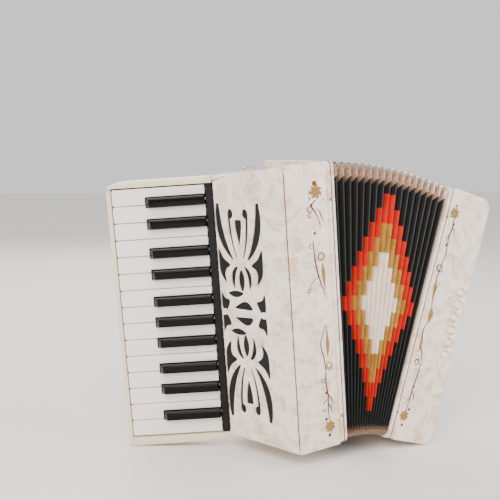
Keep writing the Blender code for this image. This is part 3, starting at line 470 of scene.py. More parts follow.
def tube(path, radius, place, sides=12, flat=1.0):
    """Wire bent along a path of points; radius may be a list, and ends are closed flat."""
    path = [Vector(p) for p in path]
    radii = radius if isinstance(radius, list) else [radius] * len(path)
    vertices, faces = [], []
    side = None
    for i, point in enumerate(path):
        ahead = (path[min(i + 1, len(path) - 1)] - path[max(i - 1, 0)]).normalized()
        if side is None:
            side = ahead.orthogonal().normalized()
        side = (side - ahead * side.dot(ahead)).normalized()
        up = ahead.cross(side)
        for k in range(sides):
            angle = math.tau * k / sides
            offset = side * math.cos(angle) + up * math.sin(angle)
            offset.z *= flat
            vertices.append(point + offset * radii[i])
    for ring in range(len(path) - 1):
        for k in range(sides):
            j = (k + 1) % sides
            base = ring * sides
            faces.append((base + k, base + j, base + sides + j, base + sides + k))
    faces.append(tuple(range(sides)))
    faces.append(tuple(range((len(path) - 1) * sides, len(path) * sides)))
    return mesh_from(vertices, faces, place)


def applied(mesh, kind, **settings):
    """The mesh after one modifier."""
    holder = bpy.data.objects.new("work", mesh)
    bpy.context.scene.collection.objects.link(holder)
    modifier = holder.modifiers.new(kind.lower(), kind)
    for name, value in settings.items():
        setattr(modifier, name, value)
    result = bpy.data.meshes.new_from_object(
        holder.evaluated_get(bpy.context.evaluated_depsgraph_get())
    )
    bpy.data.objects.remove(holder)
    return result


def sawn(mesh, outlines, low, high, place):
    """The sheet with openings sawn through it square to the bench."""
    vertices, faces = [], []
    for outline in outlines:
        start, count = len(vertices), len(outline)
        vertices += [(x, y, low) for x, y in outline] + [(x, y, high) for x, y in outline]
        faces.append(tuple(range(start, start + count)))
        faces.append(tuple(range(start + 2 * count - 1, start + count - 1, -1)))
        for i in range(count):
            j = (i + 1) % count
            faces.append((start + i, start + j, start + count + j, start + count + i))
    saw = bpy.data.objects.new("saw", mesh_from(vertices, faces, place))
    bpy.context.scene.collection.objects.link(saw)
    result = applied(mesh, "BOOLEAN", object=saw, operation="DIFFERENCE", solver="EXACT", use_self=True)
    bpy.data.objects.remove(saw)
    return result


def eased(piece, width, segments=3):
    """A measured piece with its edges eased to a small round."""
    mesh = nodes[piece].data.copy()
    bm = bmesh.new()
    bm.from_mesh(mesh)
    bmesh.ops.remove_doubles(bm, verts=bm.verts, dist=0.00001)
    flat = math.radians(0.4)
    bmesh.ops.dissolve_limit(bm, angle_limit=flat, verts=bm.verts, edges=bm.edges)
    bm.to_mesh(mesh)
    bm.free()
    if not width:
        return mesh
    return applied(
        mesh, "BEVEL", width=width, segments=segments, limit_method="ANGLE",
        angle_limit=math.radians(50),
    )


def screw(place, radius):
    """Slotted screw head lying on the bench's face."""
    disc = slab([circle((0, 0), radius)], -0.0002, radius * 0.30, place, 0.00012)
    slot = rectangle((-radius * 0.78, -radius * 0.12), (radius * 0.78, radius * 0.12))
    top = slab([circle((0, 0), radius * 0.94), slot], radius * 0.28, radius * 0.52, place, 0.00014)
    return [disc, top]


print("tools ready")

# %% [markdown]
# ## The keyboard side's casing
# The casing is a wooden box, thin-walled and covered with pearl celluloid. Its front turns at a
# ridge into the sloping grille, and its top falls away towards the keys. A brown line is let into
# the bellows frame, a little way from the bellows.

# %% Treble casing, bellows frame and brown line
SHOULDER = 9.5 * MM
RIDGE_POST = 3.0 * MM
SHOULDER_RUN = GRILLE_WIDTH + 2 * RIDGE_POST


def shoulder(across):
    """Top of the casing at a distance across the grille from the ridge."""
    share = min(1.0, max(0.0, (across + RIDGE_POST) / SHOULDER_RUN))
    return HEIGHT - SHOULDER * (1 - (1 - share) ** 1.5)


def heel(across):
    """Bottom of the casing at the same distance."""
    share = min(1.0, max(0.0, (across + RIDGE_POST) / (80 * MM)))
    return 4.5 * MM * share * share * (3 - 2 * share)


RIM_EDGE = 0.8 * MM
shell = eased("treble_casing", 0.0)
add_piece("treble_casing_shell", shell, "treble", PEARL, ["treble_casing"])
rim = eased("treble_bellows_frame", RIM_EDGE)
add_piece("treble_frame_rim", rim, "treble", PEARL, ["treble_bellows_frame"])


def frame_line(height, left, side):
    """Brown inlay running round a bellows frame, 3.5 mm from the bellows."""
    rings = []
    for out in (0.2 * MM, -1.2 * MM):
        rings.append(rectangle((FRONT - out, -out), (BACK + out, height + out), 6 * MM + out, 8))
    return slab(rings, left, left + 1.0 * MM, side, 0.00006, 1)


line = frame_line(HEIGHT, INNER_FACE - 4.2 * MM, TREBLE_SIDE)
add_piece("treble_brown_line", line, "treble", BROWN_LINE)
ridge_line = slab(
    [rectangle((0.0018, 0.006), (0.0026, HEIGHT - 0.008))], -0.0004, 0.00014, GRILLE, 0.00008, 1
)
add_piece("treble_ridge_line", ridge_line, "treble", BROWN_LINE)

# %% [markdown]
# ## The grille
# The sound leaves through fretwork sawn in a sheet that is set into the sloping face. The pattern
# is drawn once for the upper half and turned over for the lower half. Black cloth behind it keeps
# dust off the reeds.

# %% Fretwork outlines
FRET_THICK = 1.3 * MM
FRET_CENTRE = 63.0 * MM
MIDDLE = 142.6 * MM
SAW_WIDTH = 0.5
LEAF_FULLNESS = 0.68


def leaf(points, widths, steps=18):
    """Tapering stroke through three points, in millimetres, with its width at each."""
    start, middle, end = [Vector(p) for p in points]
    control = middle * 2 - (start + end) / 2
    left, right = [], []
    for i in range(steps + 1):
        t = i / steps
        centre = start * (1 - t) ** 2 + control * (2 * t * (1 - t)) + end * t ** 2
        ahead = (control - start) * (2 * (1 - t)) + (end - control) * (2 * t)
        across = Vector((-ahead.y, ahead.x)).normalized()
        width = widths[0] * (1 - t) * (1 - 2 * t)
        width += widths[1] * 4 * t * (1 - t) + widths[2] * t * (2 * t - 1)
        left.append(centre + across * max(width, SAW_WIDTH) * LEAF_FULLNESS)
        right.append(centre - across * max(width, SAW_WIDTH) * LEAF_FULLNESS)
    return left + right[::-1]


def fretwork():
    """Openings of the upper half, in millimetres across and up from the pattern's middle."""
    half = [
        leaf(((25.5, 115), (23, 82), (9.5, 56.5)), (3.0, 6.2, 1.2)),
        leaf(((11.5, 104), (9.8, 80), (4.2, 58.5)), (2.6, 2.1, 1.2)),
        circle((9.6, 104.2), 3.6, 28, 5.0 / 3.6),
        smooth_line(
            [(28.2, 68), (28.9, 52), (27.2, 40), (20, 31), (20.8, 41), (18.3, 47), (13.6, 51), (22, 58)],
            5, True,
        ),
        leaf(((4.4, 49), (10.2, 40), (9.8, 25)), (1.4, 4.0, 0.8)),
        smooth_line([(28.5, 22), (29, 5), (25, 3.5), (21.5, 3), (17.5, 12.5), (24, 15.5)], 5, True),
    ]
    shapes = [[(side * p[0], p[1]) for p in shape] for side in (1, -1) for shape in half]
    shapes.append(leaf(((0, 98), (0, 88), (0, 72)), (6.0, 5.8, 0.8)))
    shapes.append(leaf(((0, 46), (0, 35), (0, 23)), (1.6, 5.8, 1.2)))
    shapes.append(leaf(((19, 20.5), (9, 20.2), (-1, 21.5)), (0.8, 5.2, 1.0)))
    foot = [(-11.5, 4.5), (0, 4.2), (11.5, 5), (4, 10.5), (-2, 12.8), (-8, 11)]
    shapes.append(smooth_line(foot, 5, True))
    return shapes


def grille_outline(near, far, inset, steps=24):
    """Outline of the plate; its far corners drop below the casing's edge."""
    stations = [near + (far - near) * i / steps for i in range(steps + 1)]

    def drop(across):
        share = min(1.0, max(0.0, (across - GRILLE_WIDTH) / (24 * MM) + 1))
        return 5.0 * MM * share * share * (3 - 2 * share)

    top = [(a, shoulder(a) - drop(a) - inset) for a in stations]
    return top + [(a, heel(a) + drop(a) + inset) for a in reversed(stations)]


openings = [
    [(FRET_CENTRE + p[0] * MM, MIDDLE + turn * p[1] * MM) for p in shape]
    for turn in (1, -1) for shape in fretwork()
]
plate_outline = grille_outline(RIDGE_POST + 0.0003, GRILLE_WIDTH - 0.0012, 0.0003)
plate = slab([plate_outline], 0, FRET_THICK, GRILLE, 0.0003, 2)
plate = sawn(plate, openings, -1 * MM, 2 * FRET_THICK, GRILLE)
add_piece("treble_grille_fretwork", plate, "treble", GRILLE_PEARL, ["treble_grille"], 50)
cloth = slab(
    [grille_outline(RIDGE_POST + 0.0006, GRILLE_WIDTH - 0.0016, 0.0008)], FRET_THICK + 0.0001,
    FRET_THICK + 0.0008, GRILLE, 0.0001, 1,
)
add_piece("treble_grille_cloth", cloth, "treble", GRILLE_CLOTH)
print("fretwork openings:", len(openings))

# %% [markdown]
# ## The keyboard's bed
# The keys lie over a shallow board with a cheek at each end and a lip in front of the key ends.
# The well under the keys is lined with black leather, and a strip of red felt stops the keys.

# %% Bed, lining, felt and the black strip behind the keys
PITCH = 18.0 * MM
KEY_LENGTH = 97.2 * MM
KEY_THICK = 8.0 * MM
KEY_SLIT = 0.7 * MM
BOTTOM = 7.6 * MM
TOP = BOTTOM + 15 * PITCH
BED_TOP = 14.2 * MM
shell = eased("keyboard_bed", 0.0)
add_piece("keyboard_bed_shell", shell, "treble", CREAM, ["keyboard_bed"])
lining = slab(
    [rectangle((-0.0060, BOTTOM - 0.0011), (KEY_LENGTH + 0.0011, TOP + 0.0011))], BED_TOP - 0.0010,
    BED_TOP + 0.0002, KEYBOARD, 0.0002, 1,
)
add_piece("keyboard_well_lining", lining, "treble", GRILLE_CLOTH)
# Black strip over the levers behind the key ends: painted shade for the dark gap between the keys and the
# grille.
strip = slab(
    [rectangle((-8.1 * MM, BOTTOM - 1.0 * MM), (-0.8 * MM, TOP + 1.0 * MM))], 1.2 * MM, 1.9 * MM,
    KEYBOARD, 0.0002,
)
add_piece("key_gap_painted_shade_strip", strip, "treble", GRILLE_CLOTH)
felt = slab(
    [rectangle((KEY_LENGTH - 0.016, BOTTOM), (KEY_LENGTH - 0.004, TOP), 0.001)], BED_TOP - 0.0015,
    BED_TOP - 0.0008, KEYBOARD, 0.0002,
)
add_piece("key_stop_felt", felt, "treble", FELT)
print("keyboard span", round((TOP - BOTTOM) / MM), "mm")

# %% [markdown]
# ## The keys
# A white key is a wooden stick with a plastic cap that overhangs it a little. A black key is one
# moulded block with a sloping front. Behind the axle each key carries a bent metal lever and a
# leather-faced pallet that closes its hole in the soundboard.

# %% Key outlines
BLACK_WIDTH = 10.0 * MM
BLACK_LENGTH = 62.0 * MM
BLACK_RISE = 7.5 * MM


def black_heights():
    """Middle of each black key; groups of two and three lean apart about their white keys."""
    apart = {2: (0.14, -0.14), 3: (0.23, -0.02, -0.27), 1: (0.21,)}
    groups = ((1, 2), (4, 2), (7, 3), (11, 2), (14, 1))
    return [TOP - (first + i - apart[n][i]) * PITCH for first, n in groups for i in range(n)]


def white_outline(index, ease):
    """Outline of a white key's cap, ease smaller all round, and the middle of its tail."""
    top = TOP - index * PITCH - KEY_SLIT / 2
    bottom = top - PITCH + KEY_SLIT
    half = BLACK_WIDTH / 2 + KEY_SLIT
    tail_low, tail_high = bottom, top
    for place in black_heights():
        if bottom < place - half < top and place > top - PITCH / 2:
            tail_high = place - half
        if bottom < place + half < top and place < bottom + PITCH / 2:
            tail_low = place + half
    notch = BLACK_LENGTH + KEY_SLIT + ease
    points = [(ease, tail_low + ease)]
    if tail_low > bottom:
        points += [(notch, tail_low + ease), (notch, bottom + ease)]
    radius = 2.0 * MM
    inner = radius - ease
    for height, start in ((bottom + radius, -90), (top - radius, 0)):
        for i in range(7):
            angle = math.radians(start + 15 * i)
            along = KEY_LENGTH - radius + inner * math.cos(angle)
            points.append((along, height + inner * math.sin(angle)))
    if tail_high < top:
        points += [(notch, top - ease), (notch, tail_high - ease)]
    points.append((ease, tail_high - ease))
    return points, (tail_low + tail_high) / 2


def on_key(along, into):
    """Point on a key, measured from its rear end and down from its top."""
    return KEY_REAR + ALONG_KEY * along + Vector((math.sin(INCLINE), math.cos(INCLINE), 0)) * into


AXLE = on_key(-3.0 * MM, KEY_THICK)
print("axle", [round(v / MM, 1) for v in AXLE])

# %% Lever and pallet
BOARD_LEFT = INNER_FACE - 46.0 * MM
PALLET_LENGTH = 26.0 * MM
PALLET_WIDTH = 7.6 * MM
LEVER = 1.8 * MM


def key_works(height):
    """Lever with its boss, and the pallet with its felt and leather faces."""
    x = BOARD_LEFT - 0.3 * MM
    path = [
        on_key(12 * MM, KEY_THICK - LEVER * 1.7), on_key(-0.6 * MM, KEY_THICK - LEVER * 0.9),
        AXLE + Vector((10, -10, 0)) * MM, Vector((x - 9.75 * MM, 2 * MM, 0)),
        Vector((x - 3.75 * MM, -14 * MM, 0)), Vector((x - 3.75 * MM, -32.2 * MM, 0)),
    ]
    left, right = [], []
    for i, point in enumerate(path):
        ahead = path[min(i + 1, 5)] - path[max(i - 1, 0)]
        across = Vector((-ahead.y, ahead.x, 0)).normalized() * LEVER
        left.append((point + across).xy)
        right.append((point - across).xy)
    half = 1.3 * MM
    bar = slab([left + right[::-1]], height - half, height + half, TREBLE, 0.0003)
    ring = [circle(AXLE.xy, 3.5 * MM), circle(AXLE.xy, 1.45 * MM, 20)]
    boss = slab(ring, height - half - 0.0004, height + half + 0.0004, TREBLE, 0.0002)
    layers = []
    for near, far in ((5.0, 2.2), (2.2, 0.8), (0.8, 0.0)):
        y = PALLET_LENGTH / 2 - 0.00015 * far
        z = PALLET_WIDTH / 2 - 0.00015 * far
        place = bench(TREBLE, Vector((x, -14 * MM - PALLET_LENGTH / 2, height)), Y, UP)
        layers.append(slab([rectangle((-y, -z), (y, z), 0.0006)], -near * MM, -far * MM, place, 0.0002, 1))
    return gathered((0, bar), (0, boss), (1, layers[0]), (2, layers[1]), (3, layers[2]))


def add_works(name, height):
    """Put a key's lever and pallet on the key's own moving part."""
    works = [LEVER_METAL, SPRUCE, FELT, PALLET_LEATHER]
    add_piece(name + "_lever", key_works(height), name, works)


print("lever path ready")

# %% White keys
CAP_THICK = 2.6 * MM
CAP_OVERHANG = 0.35 * MM
for index in range(15):
    name = f"key_white_{index + 1:02d}"
    outline, tail = white_outline(index, 0.0)
    inner = white_outline(index, CAP_OVERHANG)[0]
    cap = slab([outline], 0, CAP_THICK, KEYBOARD, 0.0006, 4)
    core = slab([inner], CAP_THICK - 0.2 * MM, KEY_THICK, KEYBOARD, 0.0003, 2)
    whole = gathered((0, cap), (1, core))
    add_piece(name + "_cap", whole, name, [WHITE_KEY, KEY_WOOD], [name], 40)
    add_works(name, tail)
print("white keys: 15")


# %% Black keys
def black_key(height):
    """Block with upright sides below the white caps and sloping ones above."""
    half = BLACK_WIDTH / 2
    levels = ((KEY_THICK, half, BLACK_LENGTH), (0.0, half, BLACK_LENGTH))
    levels += ((-BLACK_RISE, half - 0.9 * MM, BLACK_LENGTH - 4.1 * MM),)
    vertices = []
    for into, wide, long in levels:
        vertices += [
            (0, height - wide, into), (long, height - wide, into),
            (long, height + wide, into), (0, height + wide, into),
        ]
    faces = [(0, 1, 2, 3), (8, 11, 10, 9)]
    for base in (0, 4):
        for i in range(4):
            j = (i + 1) % 4
            faces.append((base + i, base + 4 + i, base + 4 + j, base + j))
    mesh = mesh_from(vertices, faces, KEYBOARD)
    return applied(
        mesh, "BEVEL", width=0.0012, segments=4, limit_method="ANGLE", angle_limit=math.radians(12)
    )


for index, height in enumerate(black_heights()):
    name = f"key_black_{index + 1:02d}"
    add_piece(name + "_block", black_key(height), name, BLACK_KEY, [name], 60)
    add_works(name, height)
print("black keys:", len(black_heights()))

# %% [markdown]
# ## The bellows
# Eighteen folds of card are hinged with cloth; each fold is taped along its ridge, papered in
# steps of red, gold and white that make a diamond, and shod with a bent metal cap at each corner.
# The first fourteen folds fan out and the last four draw straight.

# %% Bellows section
FAN = math.radians(21.2)
FOOT_RADIUS = 52.8 * MM / (2 * math.sin(FAN / 2))
FOLDS = 18
HINGED = 14
RIDGE_INSET = 2.0 * MM
FOLD_DEPTH = 12.0 * MM
CORNER = 9.0 * MM
STEP = 15.4 * MM


def reach(angle):
    """Upper edge of the bellows, measured from the apex of the fan."""
    return FOOT_RADIUS + HEIGHT + (BASS_HEIGHT - HEIGHT) * angle / FAN


def fan_point(angle, radius, y):
    return (INNER_FACE + radius * math.sin(angle), y, radius * math.cos(angle) - FOOT_RADIUS)


def section(angle, inset, marks):
    """One closed outline of the bellows; marks are heights from its middle on front and back."""
    low, high = FOOT_RADIUS + inset, reach(angle) - inset
    middle = (low + high) / 2
    front, back = FRONT + inset, BACK - inset
    rise = [low + CORNER] + [middle + m for m in marks] + [high - CORNER]
    def arc(y, r, start):
        turns = [math.radians(start - 15 * i) for i in range(1, 6)]
        return [(y + CORNER * math.cos(a), r + CORNER * math.sin(a)) for a in turns]
    run = [front + CORNER + (back - front - 2 * CORNER) * i / 6 for i in range(7)]
    points = [(front, r) for r in rise] + arc(front + CORNER, high - CORNER, 180)
    points += [(y, high) for y in run] + arc(back - CORNER, high - CORNER, 90)
    points += [(back, r) for r in reversed(rise)] + arc(back - CORNER, low + CORNER, 0)
    points += [(y, low) for y in reversed(run)] + arc(front + CORNER, low + CORNER, 270)
    return [fan_point(angle, r, y) for y, r in points], len(rise)


def fold_inset(share):
    """How far a fold's surface lies inside the casing, from valley over ridge to valley."""
    sharp = abs(2 * share - 1)
    eased_ridge = math.sqrt(sharp * sharp + 0.004) - 0.0632
    return RIDGE_INSET + FOLD_DEPTH * min(1.0, eased_ridge)


def fold_colours(fold):
    """Heights where the papers of a fold change, and the finish between them from below."""
    k = 8 - fold if fold <= 8 else fold - 9
    halves = [(h - k) * STEP for h in (3.5, 5.5, 7.5) if h > k]
    marks = sorted([-h for h in halves] + halves)
    papers = [3, 2, 1][3 - len(halves):]
    order = [0] + papers[::-1] + papers[1:] + [0] if halves else [0]
    return marks, order


print("fold 2:", fold_colours(1), "fold 9:", fold_colours(8)[1])


# %% Folds, tape and corner caps
PLEAT_SHARES = (0, 0.15, 0.32, 0.43, 0.475, 0.5, 0.525, 0.57, 0.68, 0.85, 1)
TAPE_SHARES = (0.44, 0.47, 0.5, 0.53, 0.56)
CAP_SHARES = (0.15, 0.25, 0.36, 0.45, 0.5, 0.55, 0.64, 0.75, 0.85)
ROUND_THE_END = 5 + 7 + 5


def fold_skin(first, last, shares, proud=0.0, bare=False):
    """Skin over these shares of every fold, with each face's finish; bare leaves papers out."""
    vertices, faces, finishes = [], [], []
    for fold in range(first, last):
        marks, order = fold_colours(fold)
        start = len(vertices)
        for share in shares:
            angle = FAN * (fold + share) / FOLDS
            points, rise = section(angle, fold_inset(share) - proud, marks)
            vertices += points
        size = len(points)
        back = rise + ROUND_THE_END
        numbers = [0] * size
        numbers[:rise - 1] = order
        numbers[back:back + rise - 1] = order[::-1]
        for ring in range(len(shares) - 1):
            for i in range(size):
                if bare and numbers[i]:
                    continue
                a, j = start + ring * size, (i + 1) % size
                faces.append((a + i, a + j, a + size + j, a + size + i))
                finishes.append(numbers[i])
    return vertices, faces, finishes


def cap_lanes(length):
    """Line round a corner, as distances in from the front and from the end of a fold."""
    side = [(0.0, r) for r in (length, length - 1.2 * MM, length * 0.8, CORNER)]
    turns = [math.radians(15 * i) for i in range(1, 6)]
    arc = [(CORNER - CORNER * math.cos(a), CORNER - CORNER * math.sin(a)) for a in turns]
    inner = length - 2.5 * MM
    return side + arc + [(max(y, CORNER), 0.0) for y in (CORNER, inner * 0.9, inner)]


def corner_caps(first, last):
    """Bent metal cap over each fold's four corners, longer at the top than at the bottom."""
    vertices, faces = [], []
    corners = [(upper, fore) for upper in (True, False) for fore in (True, False)]
    for fold in range(first, last):
        for upper, fore in corners:
            lanes = cap_lanes((13.5 if upper else 10.0) * MM)
            start, count = len(vertices), len(lanes)
            for share in CAP_SHARES:
                for n, (off_y, off_r) in enumerate(lanes):
                    squeezed = 0.5 + (share - 0.5) * (0.94 if n in (0, count - 1) else 1.0)
                    angle = FAN * (fold + squeezed) / FOLDS
                    inset = fold_inset(squeezed) - 0.35 * MM
                    y = FRONT + inset + off_y if fore else BACK - inset - off_y
                    low, high = FOOT_RADIUS + inset, reach(angle) - inset
                    vertices.append(fan_point(angle, high - off_r if upper else low + off_r, y))
            for ring in range(len(CAP_SHARES) - 1):
                for i in range(count - 1):
                    a = start + ring * count + i
                    quad = (a, a + 1, a + count + 1, a + count)
                    faces.append(quad if fore == upper else quad[::-1])
    return vertices, faces


def skin(thick, vertices, faces, marks=None):
    """Sheet laid on the points, outwards or, where its thickness is below zero, inwards."""
    mesh = bpy.data.meshes.new("skin")
    mesh.from_pydata([TREBLE @ Vector(v) for v in vertices], [], faces)
    if marks:
        mesh.polygons.foreach_set("material_index", marks)
    bm = bmesh.new()
    bm.from_mesh(mesh)
    middle = TREBLE @ Vector(fan_point(FAN / 2, FOOT_RADIUS + HEIGHT / 2, 0))
    outward = sum(1 if f.normal.dot(f.calc_center_median() - middle) > 0 else -1 for f in bm.faces)
    if outward < 0:
        bmesh.ops.reverse_faces(bm, faces=bm.faces)
    bm.to_mesh(mesh)
    bm.free()
    return applied(mesh, "SOLIDIFY", thickness=abs(thick), offset=math.copysign(1, thick))


def open_with(thing):
    """Bake a bellows piece's placement into its points."""
    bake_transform(thing)


PAPERS = [BELLOWS_CLOTH, RED_PAPER, GOLD_PAPER, WHITE_PAPER]
for part, a, b, first, last in (
    ("hinged", "treble", "middle_fold", 0, HINGED), ("drawn", "middle_fold", "bass", HINGED, FOLDS)
):
    cad = ["bellows_" + part + "_folds"]
    pleats = skin(-0.7 * MM, *fold_skin(first, last, PLEAT_SHARES))
    tape = skin(0.15 * MM, *fold_skin(first, last, TAPE_SHARES, 0.3 * MM, True))
    caps = skin(0.4 * MM, *corner_caps(first, last))
    for what, mesh, finishes, slot, replaced, sharp in (
        ("pleats", pleats, PAPERS, "bellows", cad, 30), ("tape", tape, RIDGE_TAPE, "bellows", (), 35),
        ("corner_caps", caps, BRONZE, "steel", (), 35),
    ):
        name = "bellows_" + part + "_" + what
        thing = add_piece(name, mesh, None, finishes, replaced, sharp)
        open_with(thing)
print("bellows skins:", len(pleats.polygons), "faces on the drawn folds")

# %% Middle card
half_card = FAN / FOLDS * 0.035
middle_angle = FAN * HINGED / FOLDS
rings = [
    section(angle, inset, [])[0] for inset in (13.4 * MM, 16.4 * MM)
    for angle in (middle_angle - half_card, middle_angle + half_card)
]
size = len(rings[0])
faces = []
for low, high in ((0, 1), (1, 3), (3, 2), (2, 0)):
    for i in range(size):
        j = (i + 1) % size
        faces.append((low * size + i, low * size + j, high * size + j, high * size + i))
card = mesh_from([p for ring in rings for p in ring], faces, TREBLE)
add_piece("bellows_card_rib", card, "middle_fold", BELLOWS_CLOTH, ["bellows_middle_fold"])
print("card rib points:", 4 * size)

# %% [markdown]
# ## The bass side
# The bass casing closes the other end of the bellows. Twelve small buttons stand on its front, its
# outer end is a flat plate with an air button, four rubber feet and the leather hand strap.

# %% Bass casing, frame, plate and lines
for name, cad, edge in (
    ("bass_casing_shell", "bass_casing", 0.0), ("bass_frame_rim", "bass_bellows_frame", RIM_EDGE),
    ("bass_end_cover", "bass_end_plate", RIM_EDGE),
):
    add_piece(name, eased(cad, edge), "bass", PEARL, [cad])
bass_line = frame_line(BASS_HEIGHT, 3.4 * MM, BASS_SIDE)
add_piece("bass_brown_line", bass_line, "bass", BROWN_LINE)
heads = []
for y in (FRONT + 18 * MM, BACK - 18 * MM):
    for z in (20 * MM, BASS_HEIGHT / 2, BASS_HEIGHT - 20 * MM):
        spot = BASS_END @ Matrix.Translation((y, z, 0))
        heads += screw(spot @ Matrix.Rotation(y * 40 + z * 25, 4, "Z"), 2.4 * MM)
add_piece("bass_end_screws", gathered(*[(0, h) for h in heads]), "bass", NICKEL)
print("bass end screws:", len(heads) // 2)

# %% Buttons
BUTTON_RADIUS = 3.1 * MM
AIR_RADIUS = 5.5 * MM
ROW_RISE = 14.3 * MM
button_profile = [
    (-5.0, 0.0), (-5.0, 0.35), (-4.98, 0.62), (-4.85, 0.84), (-4.5, 0.97), (-4.0, 1.0), (0.5, 1.0),
    (0.502, 0.985), (5.35, 0.985), (5.5, 1.35), (7.5, 1.35), (7.6, 0.5), (27.4, 0.5), (27.5, 0.0),
]
for index in range(12):
    row, outer = divmod(index, 2)
    x = (53.2 if outer else 47.2) * MM
    z = (109.5 if outer else 102.3) * MM + row * ROW_RISE
    name = f"bass_button_{index + 1:02d}"
    place = bench(BASS, Vector((x, FRONT, z)), X, UP) @ Matrix.Rotation(math.pi, 4, "X")
    mesh = lathe([(h * MM, max(r, 0.02) * BUTTON_RADIUS) for h, r in button_profile], place, 28)
    add_piece(name + "_cap", mesh, name, BUTTON, [name], 50)
air = BASS @ Matrix.Translation((BASS_WIDTH, BACK - 27 * MM, BASS_HEIGHT - 62.2 * MM))
air_place = air @ Matrix.Rotation(math.pi / 2, 4, "Y")
air_profile = [
    (6.0, 0.02), (5.6, 0.45), (5.9, 0.62), (5.95, 0.8), (5.5, 0.96), (4.8, 1.0), (-5.4, 1.0),
    (-5.5, 1.4), (-7.9, 1.4), (-8.0, 0.5), (-17.4, 0.5), (-17.5, 0.02),
]
mesh = lathe([(h * MM, r * AIR_RADIUS) for h, r in air_profile], air_place, 36)
add_piece("air_button_cap", mesh, "air_button", BUTTON, ["air_button"], 50)
collar = [circle((0, 0), 8.2 * MM, 40), circle((0, 0), 6.2 * MM, 40)]
collar = slab(collar, -0.2 * MM, 0.9 * MM, air_place, 0.3 * MM)
add_piece("air_button_ring", collar, "bass", NICKEL)
print("buttons: 12 and the air button")

# %% Feet and hand strap
FOOT_INSET = 24 * MM
foot_profile = [
    (0.3, 7.3), (0.3, 7.5), (3.3, 7.1), (4.6, 6.6), (5.3, 5.6), (5.5, 4.4), (5.5, 3.2), (3.2, 3.0),
    (3.1, 0.1),
]
feet = [
    (y, z) for z in (FOOT_INSET, BASS_HEIGHT - FOOT_INSET) for y in (FRONT + FOOT_INSET, BACK - FOOT_INSET)
]
for number, (y, z) in enumerate(feet):
    spot = BASS_END @ Matrix.Translation((y, z, 0))
    rubber = lathe([(h * MM, r * MM) for h, r in foot_profile], spot, 40)
    name = f"foot_{number + 1}"
    add_piece(name + "_rubber", rubber, "bass", RUBBER, [name], 50)
    head = screw(spot @ Matrix.Translation((0, 0, 3.2 * MM)), 2.5 * MM)
    add_piece(name + "_screw", gathered(*[(0, m) for m in head]), "bass", NICKEL)

HALF_STRAP = 100 * MM
STRAP_SEAT = 24 * MM
STRAP_HALF_WIDTH = 26 * MM
STRAP_THICK = 2.9 * MM
SEAM = 22.5 * MM
STEPS = 64
STITCHES = 38


def strap_lift(along):
    """Height of the strap's underside over the plate."""
    free = HALF_STRAP - STRAP_SEAT
    if abs(along) >= free:
        return 0.3 * MM
    return 0.3 * MM + 5.5 * MM * (1 + math.cos(math.pi * along / free))


vertices, faces = [], []
profile = rectangle((-STRAP_HALF_WIDTH, 0), (STRAP_HALF_WIDTH, STRAP_THICK), 1.3 * MM, 4)
for n in range(STEPS + 1):
    along = -HALF_STRAP + 2 * HALF_STRAP * n / STEPS
    tuck = 1.2 * MM if n in (0, STEPS) else 0.0
    waist = (1 - 0.05 * math.exp(-((abs(along) - 76 * MM) / (14 * MM)) ** 2)) * (1 - tuck * 12)
    for y, high in profile:
        swell = 0.35 * MM * math.cos(y / STRAP_HALF_WIDTH * math.pi / 2) if high > 1.5 * MM else 0.0
        top = strap_lift(along) + high + swell - tuck * 0.1
        vertices.append((y * waist, BASS_HEIGHT / 2 + along, top))
size = len(profile)
for n in range(STEPS):
    for i in range(size):
        j = (i + 1) % size
        faces.append((n * size + i, n * size + j, (n + 1) * size + j, (n + 1) * size + i))
faces.append(tuple(range(size)))
faces.append(tuple(range(STEPS * size, (STEPS + 1) * size)))
band = mesh_from(vertices, faces, BASS_END)
add_piece("hand_strap_band", band, "bass", LEATHER, ["bass_strap"], 50)

stitches = []
sewn = HALF_STRAP - 26 * MM
thread = [0.2 * MM, 0.33 * MM, 0.36 * MM, 0.33 * MM, 0.2 * MM]
for y in (-SEAM, SEAM):
    for n in range(STITCHES):
        run = []
        for s in (-1, -0.6, 0, 0.6, 1):
            along = 2 * sewn * (n + 0.5) / STITCHES - sewn + s * 1.35 * MM
            top = strap_lift(along) + STRAP_THICK + (0.27 * MM if abs(s) < 1 else -0.05 * MM)
            run.append((y, BASS_HEIGHT / 2 + along, top))
        stitches.append((0, tube(run, thread, BASS_END, 6)))
add_piece("hand_strap_stitching", gathered(*stitches), "bass", THREAD)
clamps = []
bar = rectangle((-STRAP_HALF_WIDTH, -6 * MM), (STRAP_HALF_WIDTH, 6 * MM), 2.5 * MM)
for end in (-1, 1):
    middle = BASS_HEIGHT / 2 + end * (HALF_STRAP - 10 * MM)
    face = BASS_END @ Matrix.Translation((0, middle, 3.5 * MM))
    clamps.append(slab([bar], 0, 0.9 * MM, face, 0.0003))
    for y in (-17 * MM, 0, 17 * MM):
        spot = face @ Matrix.Translation((y, 0, 0.85 * MM))
        clamps += screw(spot @ Matrix.Rotation(y * 60 + 0.4, 4, "Z"), 2.3 * MM)
add_piece("hand_strap_clamps", gathered(*[(0, m) for m in clamps]), "bass", NICKEL)
print("stitches:", len(stitches))

# %% [markdown]
# ## Shoulder strap brackets, studs and painted vines
# Two nickelled brackets on the back take the shoulder straps. Small studs pin the bellows frames,
# and a painted vine with red berries runs down the front of both sides.

